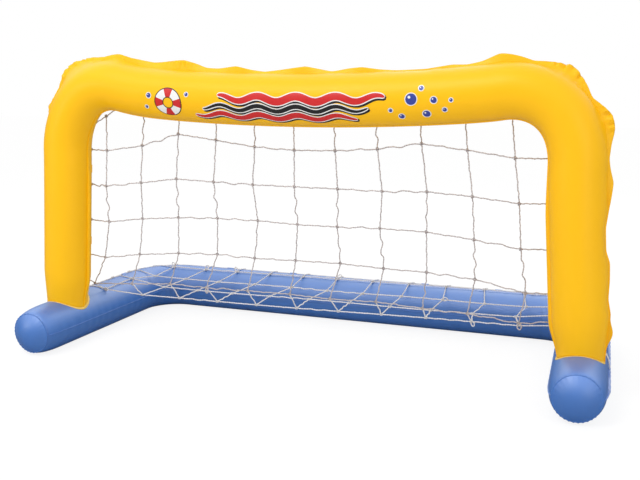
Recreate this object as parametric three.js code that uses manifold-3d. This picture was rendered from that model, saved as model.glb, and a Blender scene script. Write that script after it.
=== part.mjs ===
// Inflatable water polo goal: a yellow arch tube welded on a blue U-shaped base tube, with a knotted
// net laced to a border rope behind them. Millimetres, +Z up, X across the goal, the mouth towards -Y.

import * as THREE from "three";
import * as BufferGeometryUtils from "three/addons/utils/BufferGeometryUtils.js";
import Module from "manifold-3d";

const wasm = await Module();
wasm.setup();

// Driving dimensions of the film and the welds
const filmThickness = 0.4;
const weldGap = 0.3;
const innerFlangeWidth = 3;

// The arch: two posts and a crossbar that sags a little between its corners
const archRadius = 58;
const crossbarEndHeight = 648;
const crossbarSag = 20;
const postTopHalfSpan = 607;
const archCornerRadius = 150;
const footBlendHeight = 74;
const footHalfWidth = 48;
const footHalfLength = 57;
const footRimWidth = 3.5;
const footSeatGap = 1.5;

// The ruffled outer weld flange leans to and fro along the arch
const flangeWidest = 38;
const ruffleLength = 152;
const ruffleLean = 0.3;

// The base: two legs that close in slightly towards the rear, and the rear bar
const baseRadius = 59;
const baseFlat = 2;
const legFrontHalfSpan = 651;
const legRearHalfSpan = 624;
const legFrontReach = 146;
const rearBarReach = 428;
const baseCornerRadius = 105;
const baseFlangeWidth = 5;
const baseFlangeWave = 1.2;
const baseFlangeWaveLength = 118;

// The domed end caps of the legs
const capSeamRadius = 48;
const capDome = 20;
const legTaperLength = 72;
const taperStationShares = [0.012, 0.06, 0.2, 0.42, 0.7];
const capFlangeWidth = 3;
const capScallop = 0.7;
const capScallopCount = 12;

// The border rope, the patches that hold it, and the net
const ropeRadius = 2.2;
const ropeSeat = 0.6;
const ropeBehindShare = 0.69;
const ropeAboveShare = 0.33;
const patchWidth = 20;
const patchWing = 11;
const patchTunnelGap = 0.5;
const patchLead = 4;
const twineWidth = 2.4;
const knotSize = 4.6;
const netColumns = 11;
const netPitch = 102;
const netHitch = 27;
const netUnevenness = 4;
const unevenTurn = 12.9898;
const drapeClearance = 1.3;
const drapeStartShare = 0.55;
const tieTurnShare = 0.1;
const knotCornerShare = 0.66;

// Valves
const valveNeckRadius = 6.2;
const valveBoreRadius = 4.3;
const valveNeckHeight = 8;
const valveFlangeRadius = 15;
const valveFlangeThickness = 1.2;
const valveTubeDepth = 7;
const stopperRadius = 8;
const stopperThickness = 2;
const plugTopRadius = 3.9;
const plugTipRadius = 3.4;
const plugDepth = 4;
const stopperSeatGap = 0.3;
const tetherReach = 14;
const tetherWidth = 5;
const tetherThickness = 1.4;
const hingePostThickness = 1.6;
const hingeClearance = 0.4;
const flapThickness = 0.8;
const flapRadius = 5.2;
const flapSeatGap = 0.3;
const archValveHeight = 330;
const baseValveReach = 118;
const baseValveTurnShare = 0.16;
const valveFlangeShares = [0.05, 0.35, 0.7, 1];
const valveSettleShare = 0.3;

// How finely the curves are drawn
const footRows = 3;
const archStationLength = 66;
const archBendSteps = 8;
const baseStationLength = 110;
const baseBendSteps = 5;
const archArcSteps = 8;
const baseArcSteps = 8;
const capRings = 3;
const patchRings = 3;
const tunnelSteps = 5;
const ropeStepLength = 38;
const ropeSides = 5;
const roundSides = 16;
const drapeSteps = 3;
const pathSteps = 200;
const arcHandleShare = 0.5523;

// The net's rows as shares: how far behind the arch they lie of the rear bar's reach, their height of the
// crossbar's middle height or of the base's, how much of the columns' hitch they show, and, of the pitch, how far
// they droop at the posts and are pulled aside at the left and the right post
const backRows = [
  { reachShare: 0.028, heightShare: 0.823, hitchShare: 1, droopShare: 0.14, shiftShares: [0.08, -0.15] },
  { reachShare: 0.042, heightShare: 0.68, hitchShare: 0.4, droopShare: 0.18, shiftShares: [-0.16, -0.05] },
  { reachShare: 0.068, heightShare: 0.54, hitchShare: 0.1, droopShare: 0.25, shiftShares: [-0.18, -0.04] },
  { reachShare: 0.105, heightShare: 0.393, hitchShare: 0, droopShare: 0.31, shiftShares: [-0.42, 0.06] },
  { reachShare: 0.178, heightShare: 0.244, hitchShare: 0, droopShare: 0.18, shiftShares: [-0.96, -0.08] },
];
const floorRows = [
  { reachShares: [0.262, 0.388], heightShare: 0.889, shiftShares: [-0.98, -0.14] },
  { reachShares: [0.556, 0.612], heightShare: 0.829, shiftShares: [-0.96, -0.35] },
  { reachShares: [0.743, 0.794], heightShare: 0.897, shiftShares: [-0.65, -0.25] },
];
const rearRow = { setbackShares: [0.44, 0.07], shiftShares: [-0.44, -0.41] };
// How far each column is hitched up at the first row, from the left post to the right one
const columnHitchShares = [-0.22, 0, 1, 0.56, 0.11, -0.07, -0.04, 0.15, 0.7, 0.44, 0.3];

// The arch's outer flange, as pairs of a share of the arch's length from the left foot to the right one and a
// share of the flange's greatest width: it is wide and puckered round the corners, and folded along the posts
const archFlangeShares = [
  [0, 0.08],
  [0.06, 0.11],
  [0.155, 0.11],
  [0.186, 0.21],
  [0.192, 0.68],
  [0.212, 0.92],
  [0.236, 1],
  [0.262, 0.66],
  [0.288, 0.53],
  [0.321, 0.45],
  [0.354, 0.58],
  [0.386, 0.32],
  [0.417, 0.37],
  [0.447, 0.24],
  [0.477, 0.26],
  [0.506, 0.42],
  [0.535, 0.24],
  [0.563, 0.32],
  [0.59, 0.26],
  [0.616, 0.11],
  [0.65, 0.08],
  [0.69, 0.13],
  [0.718, 0.45],
  [0.75, 0.47],
  [0.767, 0.92],
  [0.779, 0.92],
  [0.795, 0.45],
  [0.814, 0.89],
  [0.828, 0.68],
  [0.843, 0.16],
  [0.866, 0.34],
  [0.914, 0.08],
  [0.955, 0.18],
  [0.98, 0.08],
  [1, 0.08],
];

// Where the patches hold the rope, never in a bend: the length of tube, counted from the left end, and the share
const archPatchShares = [
  [0, 0.23],
  [0, 0.84],
  [2, 0.11],
  [2, 0.34],
  [2, 0.66],
  [2, 0.89],
  [4, 0.16],
  [4, 0.77],
];
const basePatchShares = [
  [0, 0.507],
  [0, 0.925],
  [2, 0.116],
  [2, 0.311],
  [2, 0.689],
  [2, 0.884],
  [4, 0.075],
  [4, 0.493],
];

const yellow = { color: 0xf9c81c, roughness: 0.32, metalness: 0 };
const blue = { color: 0x3d6fc4, roughness: 0.34, metalness: 0 };
const clearVinyl = { color: 0xdfe6ea, roughness: 0.3, metalness: 0 };
const cord = { color: 0xdcd7dd, roughness: 0.8, metalness: 0 };

// The corners of a square, in order, and the corners of a knot's block by the signs of r, c and n
const squareCorners = [
  [-1, -1],
  [1, -1],
  [1, 1],
  [-1, 1],
];
const cornerKeys = ["---", "--+", "-+-", "-++", "+--", "+-+", "++-", "+++"];
const knotFaces = {
  "r+": ["+--", "++-", "+++", "+-+"],
  "r-": ["---", "--+", "-++", "-+-"],
  "c+": ["-+-", "-++", "+++", "++-"],
  "c-": ["---", "+--", "+-+", "--+"],
  "n+": ["--+", "+-+", "+++", "-++"],
  "n-": ["---", "-+-", "++-", "+--"],
};
const secondAxis = { "r+": "n", "r-": "c", "c+": "r", "c-": "n" };

const baseCentre = baseRadius - baseFlat;
const baseTopHeight = baseCentre + baseRadius;
const legCrossingShare = legFrontReach / (legFrontReach + rearBarReach);
const postFootHalfSpan = legFrontHalfSpan + (legRearHalfSpan - legFrontHalfSpan) * legCrossingShare;
const backward = new THREE.Vector3(0, 1, 0);
const upward = new THREE.Vector3(0, 0, 1);
const across = new THREE.Vector3(1, 0, 0);
const mix = (a, b, share) => a + (b - a) * share;
const clamp = (share) => Math.min(1, Math.max(0, share));
const smooth = (share) => clamp(share) ** 2 * (3 - 2 * clamp(share));
const flip = (v) => v.clone().setX(-v.x);
const range = (count, item) => Array.from({ length: count }, (_, k) => item(k));

// Geometry from points and triangles, turned so that its faces point outwards
function closedGeometry(points, triangles) {
  const volume = triangles.reduce(
    (sum, [a, b, c]) =>
      sum + points[a].dot(new THREE.Vector3().crossVectors(points[b], points[c])),
    0,
  );
  const index = triangles.flatMap(([a, b, c]) => (volume > 0 ? [a, b, c] : [a, c, b]));
  const geometry = new THREE.BufferGeometry().setFromPoints(points);
  geometry.setIndex(index);
  return geometry;
}

// A surface as rows of points, which may wrap round and may end in a pole
function surfaceOf(rows, wrap = false, pole = null) {
  const points = rows.flat();
  const width = rows[0].length;
  const triangles = [];
  for (let i = 0; i + 1 < rows.length; i++) {
    for (let j = 0; j < (wrap ? width : width - 1); j++) {
      const a = i * width + j;
      const b = i * width + ((j + 1) % width);
      triangles.push([a, b, b + width], [a, b + width, a + width]);
    }
  }
  if (pole) {
    const last = (rows.length - 1) * width;
    points.push(pole);
    for (let j = 0; j < width; j++) {
      triangles.push([last + j, last + ((j + 1) % width), points.length - 1]);
    }
  }
  return { points, triangles, middle: width * Math.floor(rows.length / 2) + Math.floor(width / 2) };
}

// Film behind a surface: the surface, its copy one thickness nearer to the given inside, and strips along the
// free edges. The surface's middle point tells which of its sides the inside is on.
function filmOf({ points, triangles, middle }, inside) {
  const normals = points.map(() => new THREE.Vector3());
  const edges = new Map();
  for (const [a, b, c] of triangles) {
    const u = new THREE.Vector3().subVectors(points[b], points[a]);
    const v = new THREE.Vector3().subVectors(points[c], points[a]);
    u.cross(v);
    for (const i of [a, b, c]) normals[i].add(u);
    const loop = [a, b, c, a];
    for (let k = 0; k < 3; k++) {
      const [p, q] = [loop[k], loop[k + 1]];
      if (!edges.delete(q + "," + p)) edges.set(p + "," + q, [p, q]);
    }
  }
  const count = points.length;
  const inward = new THREE.Vector3().subVectors(inside, points[middle]).dot(normals[middle]);
  const depth = Math.sign(inward) * filmThickness;
  const inner = points.map((p, i) => p.clone().addScaledVector(normals[i].normalize(), depth));
  const faces = [...triangles, ...triangles.map(([a, b, c]) => [a + count, c + count, b + count])];
  for (const [p, q] of edges.values()) {
    faces.push([q, p, p + count], [q, p + count, q + count]);
  }
  return closedGeometry([...points, ...inner], faces);
}

function named(name, geometry, finish) {
  const mesh = new THREE.Mesh(geometry, new THREE.MeshStandardMaterial(finish));
  mesh.name = name;
  return mesh;
}

function solidOf(geometry) {
  const bare = geometry.clone();
  bare.deleteAttribute("normal");
  bare.deleteAttribute("uv");
  const merged = BufferGeometryUtils.mergeVertices(bare);
  return new wasm.Manifold(
    new wasm.Mesh({
      numProp: 3,
      vertProperties: merged.attributes.position.array,
      triVerts: new Uint32Array(merged.index.array),
    }),
  );
}

function geometryOf(solid) {
  const mesh = solid.getMesh();
  const geometry = new THREE.BufferGeometry();
  geometry.setAttribute("position", new THREE.BufferAttribute(mesh.vertProperties, 3));
  geometry.setIndex(new THREE.BufferAttribute(mesh.triVerts, 1));
  return geometry;
}

const joined = (a, b) => geometryOf(solidOf(a).add(solidOf(b)));
const cut = (a, b) => geometryOf(solidOf(a).subtract(solidOf(b)));

// A quarter bend from one straight into another
function bend(start, startDirection, end, endDirection, radius) {
  return new THREE.CubicBezierCurve3(
    start,
    start.clone().addScaledVector(startDirection, radius * arcHandleShare),
    end.clone().addScaledVector(endDirection, -radius * arcHandleShare),
    end,
  );
}

// The symmetric centre line of a tube: a straight, a bend, the bar, a bend and a straight
function tubePath(start, straightEnd, barStart, bar, barDirection, radius) {
  const along = straightEnd.clone().sub(start).normalize();
  const path = new THREE.CurvePath();
  path.add(new THREE.LineCurve3(start, straightEnd));
  path.add(bend(straightEnd, along, barStart, barDirection, radius));
  path.add(bar);
  path.add(bend(flip(barStart), flip(barDirection).negate(), flip(straightEnd), flip(along).negate(), radius));
  path.add(new THREE.LineCurve3(flip(straightEnd), flip(start)));
  return path;
}

function archPath() {
  const foot = new THREE.Vector3(-postFootHalfSpan, 0, baseTopHeight);
  const top = new THREE.Vector3(-postTopHalfSpan, 0, crossbarEndHeight);
  const up = top.clone().sub(foot).normalize();
  const barStart = new THREE.Vector3(archCornerRadius - postTopHalfSpan, 0, crossbarEndHeight);
  const sagged = new THREE.Vector3(0, 0, crossbarEndHeight - 2 * crossbarSag);
  return tubePath(
    foot.addScaledVector(up, footBlendHeight),
    top.addScaledVector(up, -archCornerRadius),
    barStart,
    new THREE.QuadraticBezierCurve3(barStart, sagged, flip(barStart)),
    sagged.clone().sub(barStart).normalize(),
    archCornerRadius,
  );
}

function basePath() {
  const front = new THREE.Vector3(-legFrontHalfSpan, -legFrontReach, baseCentre);
  const rear = new THREE.Vector3(-legRearHalfSpan, rearBarReach, baseCentre);
  const back = rear.clone().sub(front).normalize();
  const barStart = rear.clone().addScaledVector(across, baseCornerRadius);
  return tubePath(
    front,
    rear.clone().addScaledVector(back, -baseCornerRadius),
    barStart,
    new THREE.LineCurve3(barStart, flip(barStart)),
    across,
    baseCornerRadius,
  );
}

// A tube with its centre line; third is the direction square to the plane that it lies in
class Tube {
  constructor(path, radius, third, turn) {
    this.path = path;
    this.radius = radius;
    this.third = third;
    this.turn = turn;
    this.length = path.getLength();
  }

  // A place on the tube: its centre, the way along it, and the way out of the goal's inside
  frameAt(u) {
    const centre = this.path.getPointAt(u);
    const along = this.path.getTangentAt(u);
    const outward = new THREE.Vector3().crossVectors(along, this.third).normalize();
    return { centre, along, outward: outward.multiplyScalar(this.turn), third: this.third };
  }

  // Shares of the length in steps of about the given length, and in so many steps round each bend
  stations(stepLength, bendSteps) {
    const ends = [0, ...this.path.getCurveLengths()];
    const inner = this.path.curves.flatMap((curve, k) => {
      const straightSteps = Math.round((ends[k + 1] - ends[k]) / stepLength);
      const steps = curve.isCubicBezierCurve3 ? bendSteps : straightSteps;
      return range(steps, (n) => mix(ends[k], ends[k + 1], n / steps) / this.length);
    });
    return [...inner, 1];
  }

  // The share of the whole length that lies at a share of one of its lengths
  shareIn(piece, share) {
    const ends = [0, ...this.path.getCurveLengths()];
    return mix(ends[piece], ends[piece + 1], share) / this.length;
  }

  // A point beside the tube at an angle from its outer seam, so far from its surface
  spot(u, angle, off) {
    const frame = this.frameAt(u);
    const reach = this.radius + off;
    return place(frame, reach * Math.cos(angle), reach * Math.sin(angle));
  }
}

const place = (frame, out, up) =>
  frame.centre.clone().addScaledVector(frame.outward, out).addScaledVector(frame.third, up);

const arch = new Tube(archPath(), archRadius, backward, 1);
const base = new Tube(basePath(), baseRadius, upward, -1);
const basePoints = base.path.getSpacedPoints(pathSteps);
const sharesAlong = basePoints.map((_, i) => i / pathSteps);

// The share of the base's length that is nearest to a point of the floor
function nearestShare(x, y) {
  const squares = basePoints.map((p) => (p.x - x) ** 2 + (p.y - y) ** 2);
  return sharesAlong[squares.indexOf(Math.min(...squares))];
}

// The height over a point of the floor of a surface that lies so far off the base tube
function baseTop(x, y, off) {
  const { centre, outward } = base.frameAt(nearestShare(x, y));
  const beside = (x - centre.x) * outward.x + (y - centre.y) * outward.y;
  return baseCentre + Math.sqrt(Math.max(0, (baseRadius + off) ** 2 - beside ** 2));
}

// A half section of a tube's film as pairs of out and up, from the outer weld flange to the inner one
function panelSection(radius, side, outerFlange, innerFlange, lean, arcAngles) {
  const offset = weldGap / 2 + filmThickness;
  const root = Math.sqrt(radius ** 2 - offset ** 2);
  const tipOut = root + outerFlange * Math.cos(lean) - side * offset * Math.sin(lean);
  const tipUp = outerFlange * Math.sin(lean) + side * offset * Math.cos(lean);
  return [
    [tipOut, tipUp],
    [root, side * offset],
    ...arcAngles.map((angle) => [radius * Math.cos(angle), side * radius * Math.sin(angle)]),
    [-root, side * offset],
    [-root - innerFlange, side * offset],
  ];
}

const evenAngles = (steps) => range(steps - 1, (k) => (Math.PI * (k + 1)) / steps);

// A point of a foot's rim, where the post's film meets the patch on the leg's round top
function footRimPoint(end, out, up) {
  const x = end * (postFootHalfSpan + (out * footHalfWidth) / archRadius);
  const y = (up * footHalfLength) / archRadius;
  return new THREE.Vector3(x, y, baseTop(x, y, footSeatGap + filmThickness + weldGap));
}

// The outer flange's share of its greatest width at a share of the arch's length, between the table's pairs
function flangeShareAt(u) {
  const next = Math.max(1, archFlangeShares.findIndex(([place]) => place >= u));
  const [before, after] = [archFlangeShares[next - 1], archFlangeShares[next]];
  return mix(before[1], after[1], (u - before[0]) / (after[0] - before[0]));
}

// The front or the back panel of the arch, from foot to foot: side is -1 in front and 1 behind
function archPanel(side) {
  const angles = evenAngles(archArcSteps);
  const rings = arch.stations(archStationLength, archBendSteps).map((u) => {
    const lean = ruffleLean * Math.sin((2 * Math.PI * u * arch.length) / ruffleLength);
    const clear = smooth((Math.min(u, 1 - u) * arch.length) / footBlendHeight);
    const width = flangeShareAt(u) * flangeWidest;
    const pairs = panelSection(archRadius, side, width, innerFlangeWidth, lean * clear, angles);
    return { frame: arch.frameAt(u), pairs };
  });
  const footOf = (end, { frame, pairs }) =>
    range(footRows, (k) =>
      pairs.map(([out, up]) => {
        const rim = footRimPoint(end, out, up);
        const top = place(frame, out, up);
        const point = rim.clone().lerp(top, smooth(k / footRows));
        return point.setZ(mix(rim.z, top.z, k / footRows));
      }),
    );
  const rows = [
    ...footOf(-1, rings[0]),
    ...rings.map(({ frame, pairs }) => pairs.map(([out, up]) => place(frame, out, up))),
    ...footOf(1, rings[rings.length - 1]).reverse(),
  ];
  return filmOf(surfaceOf(rows), arch.frameAt(0.5).centre);
}

// The film disc that closes the lower end of a post and is welded over the leg
function footPatch(end) {
  const sides = 2 * archArcSteps;
  const ringAt = (halfWidth, halfLength) =>
    range(sides, (k) => {
      const angle = (2 * Math.PI * k) / sides;
      const x = end * postFootHalfSpan + halfWidth * Math.cos(angle);
      const y = halfLength * Math.sin(angle);
      return new THREE.Vector3(x, y, baseTop(x, y, footSeatGap));
    });
  const rim = ringAt(footHalfWidth + footRimWidth, footHalfLength + footRimWidth);
  const rings = range(patchRings, (k) => {
    const share = 1 - k / patchRings;
    return ringAt(share * footHalfWidth, share * footHalfLength);
  });
  const pole = new THREE.Vector3(end * postFootHalfSpan, 0, 0);
  pole.z = baseTop(pole.x, pole.y, footSeatGap);
  return filmOf(surfaceOf([rim, ...rings], true, pole), pole.clone().setZ(crossbarEndHeight));
}

// The base tube's radius at a distance from its end: it draws in to the cap's seam
const legRadius = (distance) => {
  const share = clamp(distance / legTaperLength - taperStationShares[0]);
  return mix(capSeamRadius, baseRadius, Math.sqrt(1 - (1 - share) ** 2));
};

// The stations of the base, closer together where the legs draw in
function baseShares() {
  const end = legTaperLength / base.length;
  const near = taperStationShares.map((share) => share * end);
  const middle = base.stations(baseStationLength, baseBendSteps).filter((u) => Math.min(u, 1 - u) > end);
  return [...near, end, ...middle, 1 - end, ...near.map((u) => 1 - u).reverse()];
}

// The lower panel's arc angles leave a flat strip along the bottom, on which the goal rests
function restingAngles() {
  const flatHalf = Math.acos(baseCentre / baseRadius);
  const steps = (baseArcSteps - 2) / 2;
  const rising = range(steps, (k) => ((k + 1) * (Math.PI / 2 - flatHalf)) / steps);
  return [...rising, ...rising.map((angle) => Math.PI - angle).reverse()];
}

// The upper or the lower panel of the base, from cap to cap: side is 1 above and -1 below
function basePanel(side) {
  const angles = side > 0 ? evenAngles(baseArcSteps) : restingAngles();
  const rows = baseShares().map((u) => {
    const frame = base.frameAt(u);
    const distance = Math.min(u, 1 - u) * base.length;
    const grown = smooth(distance / legTaperLength);
    const wave = Math.sin((2 * Math.PI * u * base.length) / baseFlangeWaveLength);
    const lean = (grown * wave * baseFlangeWave) / baseFlangeWidth;
    const outer = mix(innerFlangeWidth, baseFlangeWidth, grown);
    const pairs = panelSection(legRadius(distance), side, outer, innerFlangeWidth, lean, angles);
    return pairs.map(([out, up]) => place(frame, out, Math.max(up, -baseCentre)));
  });
  const rimAt = (u) =>
    panelSection(capSeamRadius + capFlangeWidth, side, innerFlangeWidth, innerFlangeWidth, 0, angles).map(
      ([out, up]) => place(base.frameAt(u), out, up),
    );
  return filmOf(surfaceOf([rimAt(0), ...rows, rimAt(1)]), base.frameAt(0.5).centre);
}

// A leg's end cap: a domed disc whose scalloped weld flange lies on the tube's own
function endCap(end) {
  const sides = 2 * capScallopCount;
  const { centre, along, outward, third } = base.frameAt(end < 0 ? 0 : 1);
  const forward = along.clone().multiplyScalar(end);
  const seam = centre.clone().addScaledVector(forward, weldGap + 2 * filmThickness);
  const ringAt = (radius, height, scallop) =>
    range(sides, (k) => {
      const angle = (2 * Math.PI * k) / sides;
      const reach = radius + (k % 2 ? scallop : -scallop);
      const centred = { centre: seam, outward, third };
      return place(centred, reach * Math.cos(angle), reach * Math.sin(angle)).addScaledVector(forward, height);
    });
  const domeRings = range(capRings, (k) => {
    const angle = (Math.PI * k) / (2 * capRings);
    return ringAt(capSeamRadius * Math.cos(angle), capDome * Math.sin(angle), 0);
  });
  const rim = ringAt(capSeamRadius + capFlangeWidth, 0, capScallop);
  const pole = seam.clone().addScaledVector(forward, capDome);
  return filmOf(surfaceOf([rim, ...domeRings], true, pole), seam);
}

// The border rope runs in its patches behind the arch, a little inside its back, and outside the base's top
const ropeOff = ropeRadius + ropeSeat;
const archRopeAngle = ropeBehindShare * Math.PI;
const baseRopeAngle = ropeAboveShare * Math.PI;
const tieTurn = tieTurnShare * Math.PI;
const drapeStart = drapeStartShare * Math.PI;

// The rope's run along a tube: straight through each patch, and in short steps from one to the next
function ropeRun(tube, patches, angle) {
  const half = (patchWidth / 2 + patchLead) / tube.length;
  const stops = patches.flatMap((u) => [u - half, u + half]);
  const shares = stops.flatMap((u, k) => {
    const span = (stops[k + 1] ?? u) - u;
    const steps = Math.max(1, Math.round((span * tube.length) / ropeStepLength));
    return range(steps, (n) => u + (span * n) / steps);
  });
  return shares.map((u) => ({
    point: tube.spot(u, angle, ropeOff),
    normal: tube.spot(u, angle, 0).sub(tube.frameAt(u).centre).normalize(),
  }));
}

const archPatches = archPatchShares.map((place) => arch.shareIn(...place));
const basePatches = basePatchShares.map((place) => base.shareIn(...place));
const ropeLine = [
  ...ropeRun(arch, archPatches, archRopeAngle),
  ...ropeRun(base, basePatches, baseRopeAngle).reverse(),
];

function ropeGeometry() {
  const count = ropeLine.length;
  const rings = ropeLine.map(({ point, normal }, i) => {
    const before = ropeLine[(i + count - 1) % count].point;
    const after = ropeLine[(i + 1) % count].point;
    const along = new THREE.Vector3().subVectors(after, before).normalize();
    const sideways = new THREE.Vector3().crossVectors(along, normal).normalize();
    const up = new THREE.Vector3().crossVectors(sideways, along);
    return range(ropeSides, (k) => {
      const angle = (2 * Math.PI * k) / ropeSides;
      return point
        .clone()
        .addScaledVector(up, ropeRadius * Math.cos(angle))
        .addScaledVector(sideways, ropeRadius * Math.sin(angle));
    });
  });
  const { triangles } = surfaceOf([...rings, rings[0]], true);
  const points = rings.flat();
  const closed = triangles.map((face) => face.map((i) => i % points.length));
  return closedGeometry(points, closed);
}

// A patch that holds the rope: a film strip with wings on the tube and a tunnel over the rope
function ropePatch(tube, angle, u) {
  const frame = tube.frameAt(u);
  const normal = tube.spot(u, angle, 0).sub(frame.centre).normalize();
  const sideways = new THREE.Vector3().crossVectors(normal, frame.along).normalize();
  const tunnel = ropeRadius + patchTunnelGap + filmThickness;
  const seat = tube.radius + 2 * weldGap + filmThickness;
  const wing = range(2, (k) => {
    const turn = (tunnel + (1 - k) * patchWing) / tube.radius;
    return [-seat * Math.sin(turn), seat * Math.cos(turn)];
  });
  const crest = range(tunnelSteps - 1, (k) => {
    const turn = (Math.PI * (k + 1)) / tunnelSteps;
    return [-tunnel * Math.cos(turn), tube.radius + ropeOff + tunnel * Math.sin(turn)];
  });
  const mirrored = wing.map(([side, out]) => [-side, out]).reverse();
  const rows = [-1, 1].map((end) =>
    [...wing, ...crest, ...mirrored].map(([side, out]) =>
      frame.centre
        .clone()
        .addScaledVector(normal, out)
        .addScaledVector(sideways, side)
        .addScaledVector(frame.along, (end * patchWidth) / 2),
    ),
  );
  return filmOf(surfaceOf(rows), frame.centre);
}

// A net is woven from knots, which are small blocks, and twines, which are square tubes between their faces.
// A knot's faces are named by its axes: r along the row, c down the column and n through the net.
class Weave {
  constructor() {
    this.points = [];
    this.triangles = [];
    this.knots = [];
  }

  // A ring of four corners round a point, in order round the direction first x second
  ring(centre, first, second, size) {
    const start = this.points.length;
    for (const [a, b] of squareCorners) {
      const corner = centre.clone().addScaledVector(first, (a * size) / 2);
      this.points.push(corner.addScaledVector(second, (b * size) / 2));
    }
    return [start, start + 1, start + 2, start + 3];
  }

  // A ring square to a direction, whose second axis is the given one as nearly as it can be
  ringAcross(centre, direction, second, size) {
    const flat = second.clone().addScaledVector(direction, -second.dot(direction)).normalize();
    const first = new THREE.Vector3().crossVectors(flat, direction).normalize();
    return this.ring(centre, first, flat, size);
  }

  knot(centre, column) {
    const r = across.clone();
    const c = column.clone().addScaledVector(r, -column.dot(r)).normalize();
    const n = new THREE.Vector3().crossVectors(r, c);
    const axes = { r, c, n };
    const corners = {};
    for (const key of cornerKeys) {
      const corner = centre.clone();
      ["r", "c", "n"].forEach((axis, k) => {
        corner.addScaledVector(axes[axis], ((key[k] === "+" ? 1 : -1) * knotSize) / 2);
      });
      corners[key] = this.points.length;
      this.points.push(corner);
    }
    const made = { centre, axes, corners, free: new Set(Object.keys(knotFaces)) };
    this.knots.push(made);
    return made;
  }

  // The corners of a knot's face, in order round its outward direction
  face(knot, name) {
    return knotFaces[name].map((key) => knot.corners[key]);
  }

  tube(from, to) {
    for (let k = 0; k < 4; k++) {
      const next = (k + 1) % 4;
      this.triangles.push([from[k], from[next], to[next]], [from[k], to[next], to[k]]);
    }
  }

  close(ring) {
    this.triangles.push([ring[0], ring[1], ring[2]], [ring[0], ring[2], ring[3]]);
  }

  take(knot, name) {
    knot.free.delete(name);
    return this.face(knot, name);
  }

  // A twine from one knot's face to another's
  link(a, aFace, b, bFace) {
    const direction = new THREE.Vector3().subVectors(b.centre, a.centre).normalize();
    const second = a.axes[secondAxis[aFace]].clone().add(b.axes[secondAxis[aFace]]);
    const near = a.centre.clone().addScaledVector(direction, knotSize);
    const far = b.centre.clone().addScaledVector(direction, -knotSize);
    const rings = [near, far].map((p) => this.ringAcross(p, direction, second, twineWidth));
    const [b0, b1, b2, b3] = this.take(b, bFace);
    this.tube(this.take(a, aFace), rings[0]);
    this.tube(rings[0], rings[1]);
    this.tube(rings[1], [b0, b3, b2, b1]);
  }

  // A twine from a knot's face along points to its end, or to a stopper knot beside the rope if it has a tie
  tail(a, aFace, points, tie = null) {
    const second = a.axes[secondAxis[aFace]];
    const route = [a.centre, ...points];
    if (tie) route.push(tie.spot.clone().addScaledVector(tie.back, 2 * knotSize));
    const directionAt = (i) => {
      const next = route[Math.min(i + 1, route.length - 1)];
      return new THREE.Vector3().subVectors(next, route[i - 1]).normalize();
    };
    let ring = this.take(a, aFace);
    const grow = (point, direction, size) => {
      const next = this.ringAcross(point, direction, second, size);
      this.tube(ring, next);
      ring = next;
    };
    const start = new THREE.Vector3().subVectors(route[1], route[0]).normalize();
    grow(a.centre.clone().addScaledVector(start, knotSize), start, twineWidth);
    route.slice(1).forEach((point, i) => grow(point, directionAt(i + 1), twineWidth));
    if (tie) {
      const towards = tie.back.clone().negate();
      grow(tie.spot.clone().addScaledVector(tie.back, knotSize), towards, knotSize);
      grow(tie.spot, towards, knotSize);
    }
    this.close(ring);
  }

  geometry() {
    for (const knot of this.knots) {
      for (const name of knot.free) this.close(this.face(knot, name));
    }
    return closedGeometry(this.points, this.triangles);
  }
}

// Where a twine that comes from a point is tied beside the rope, at the rope's nearest place to a wish, and the
// way back from there, which is square to the rope
function tieAt(wish, from) {
  const segment = new THREE.Line3();
  let best = null;
  ropeLine.forEach(({ point }, i) => {
    segment.set(point, ropeLine[(i + 1) % ropeLine.length].point);
    const nearest = segment.closestPointToPoint(wish, true, new THREE.Vector3());
    const distance = nearest.distanceTo(wish);
    const along = segment.delta(new THREE.Vector3()).normalize();
    if (!best || distance < best.distance) best = { distance, nearest, along };
  });
  const back = new THREE.Vector3().subVectors(from, best.nearest);
  back.addScaledVector(best.along, -back.dot(best.along)).normalize();
  const spot = best.nearest.clone().addScaledVector(back, ropeRadius + 2 * weldGap);
  return { spot, back };
}

// Points over the base tube from one share and angle of it to another share, a little above the rope there
const drape = (fromShare, fromAngle, toShare) =>
  range(drapeSteps, (k) => {
    const along = k / (drapeSteps - 1);
    const off = twineWidth / 2 + drapeClearance;
    return base.spot(mix(fromShare, toShare, along), mix(fromAngle, baseRopeAngle + tieTurn, along), off);
  });

// The tie at the rope's place on the base, reached along the tube's surface from above
function tieOnBase(share) {
  const off = (baseRadius + ropeOff) / Math.cos(tieTurn) - baseRadius;
  return tieAt(base.spot(share, baseRopeAngle, ropeOff), base.spot(share, baseRopeAngle + tieTurn, off));
}

// A small steady unevenness, different at each knot
const uneven = (i, j) => netUnevenness * Math.sin(unevenTurn * (i + 1) * (j + 2));
const columnShare = (j) => j / (netColumns - 1);
const columnX = (j, [left, right]) =>
  netPitch * ((columnShare(j) - 0.5) * (netColumns - 1) + mix(left, right, columnShare(j)));

function backKnot(i, j) {
  const { reachShare, heightShare, hitchShare, droopShare, shiftShares } = backRows[i];
  const height = heightShare * (crossbarEndHeight - crossbarSag);
  const hitch = hitchShare * columnHitchShares[j] * netHitch;
  const droop = droopShare * netPitch * (2 * columnShare(j) - 1) ** 4;
  const x = columnX(j, shiftShares) + uneven(i, j);
  const y = reachShare * rearBarReach;
  const drape = baseTop(x, y, knotSize / 2 + drapeClearance);
  return new THREE.Vector3(x, y, Math.max(height + hitch - droop + uneven(j, i) / 2, drape));
}

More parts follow.
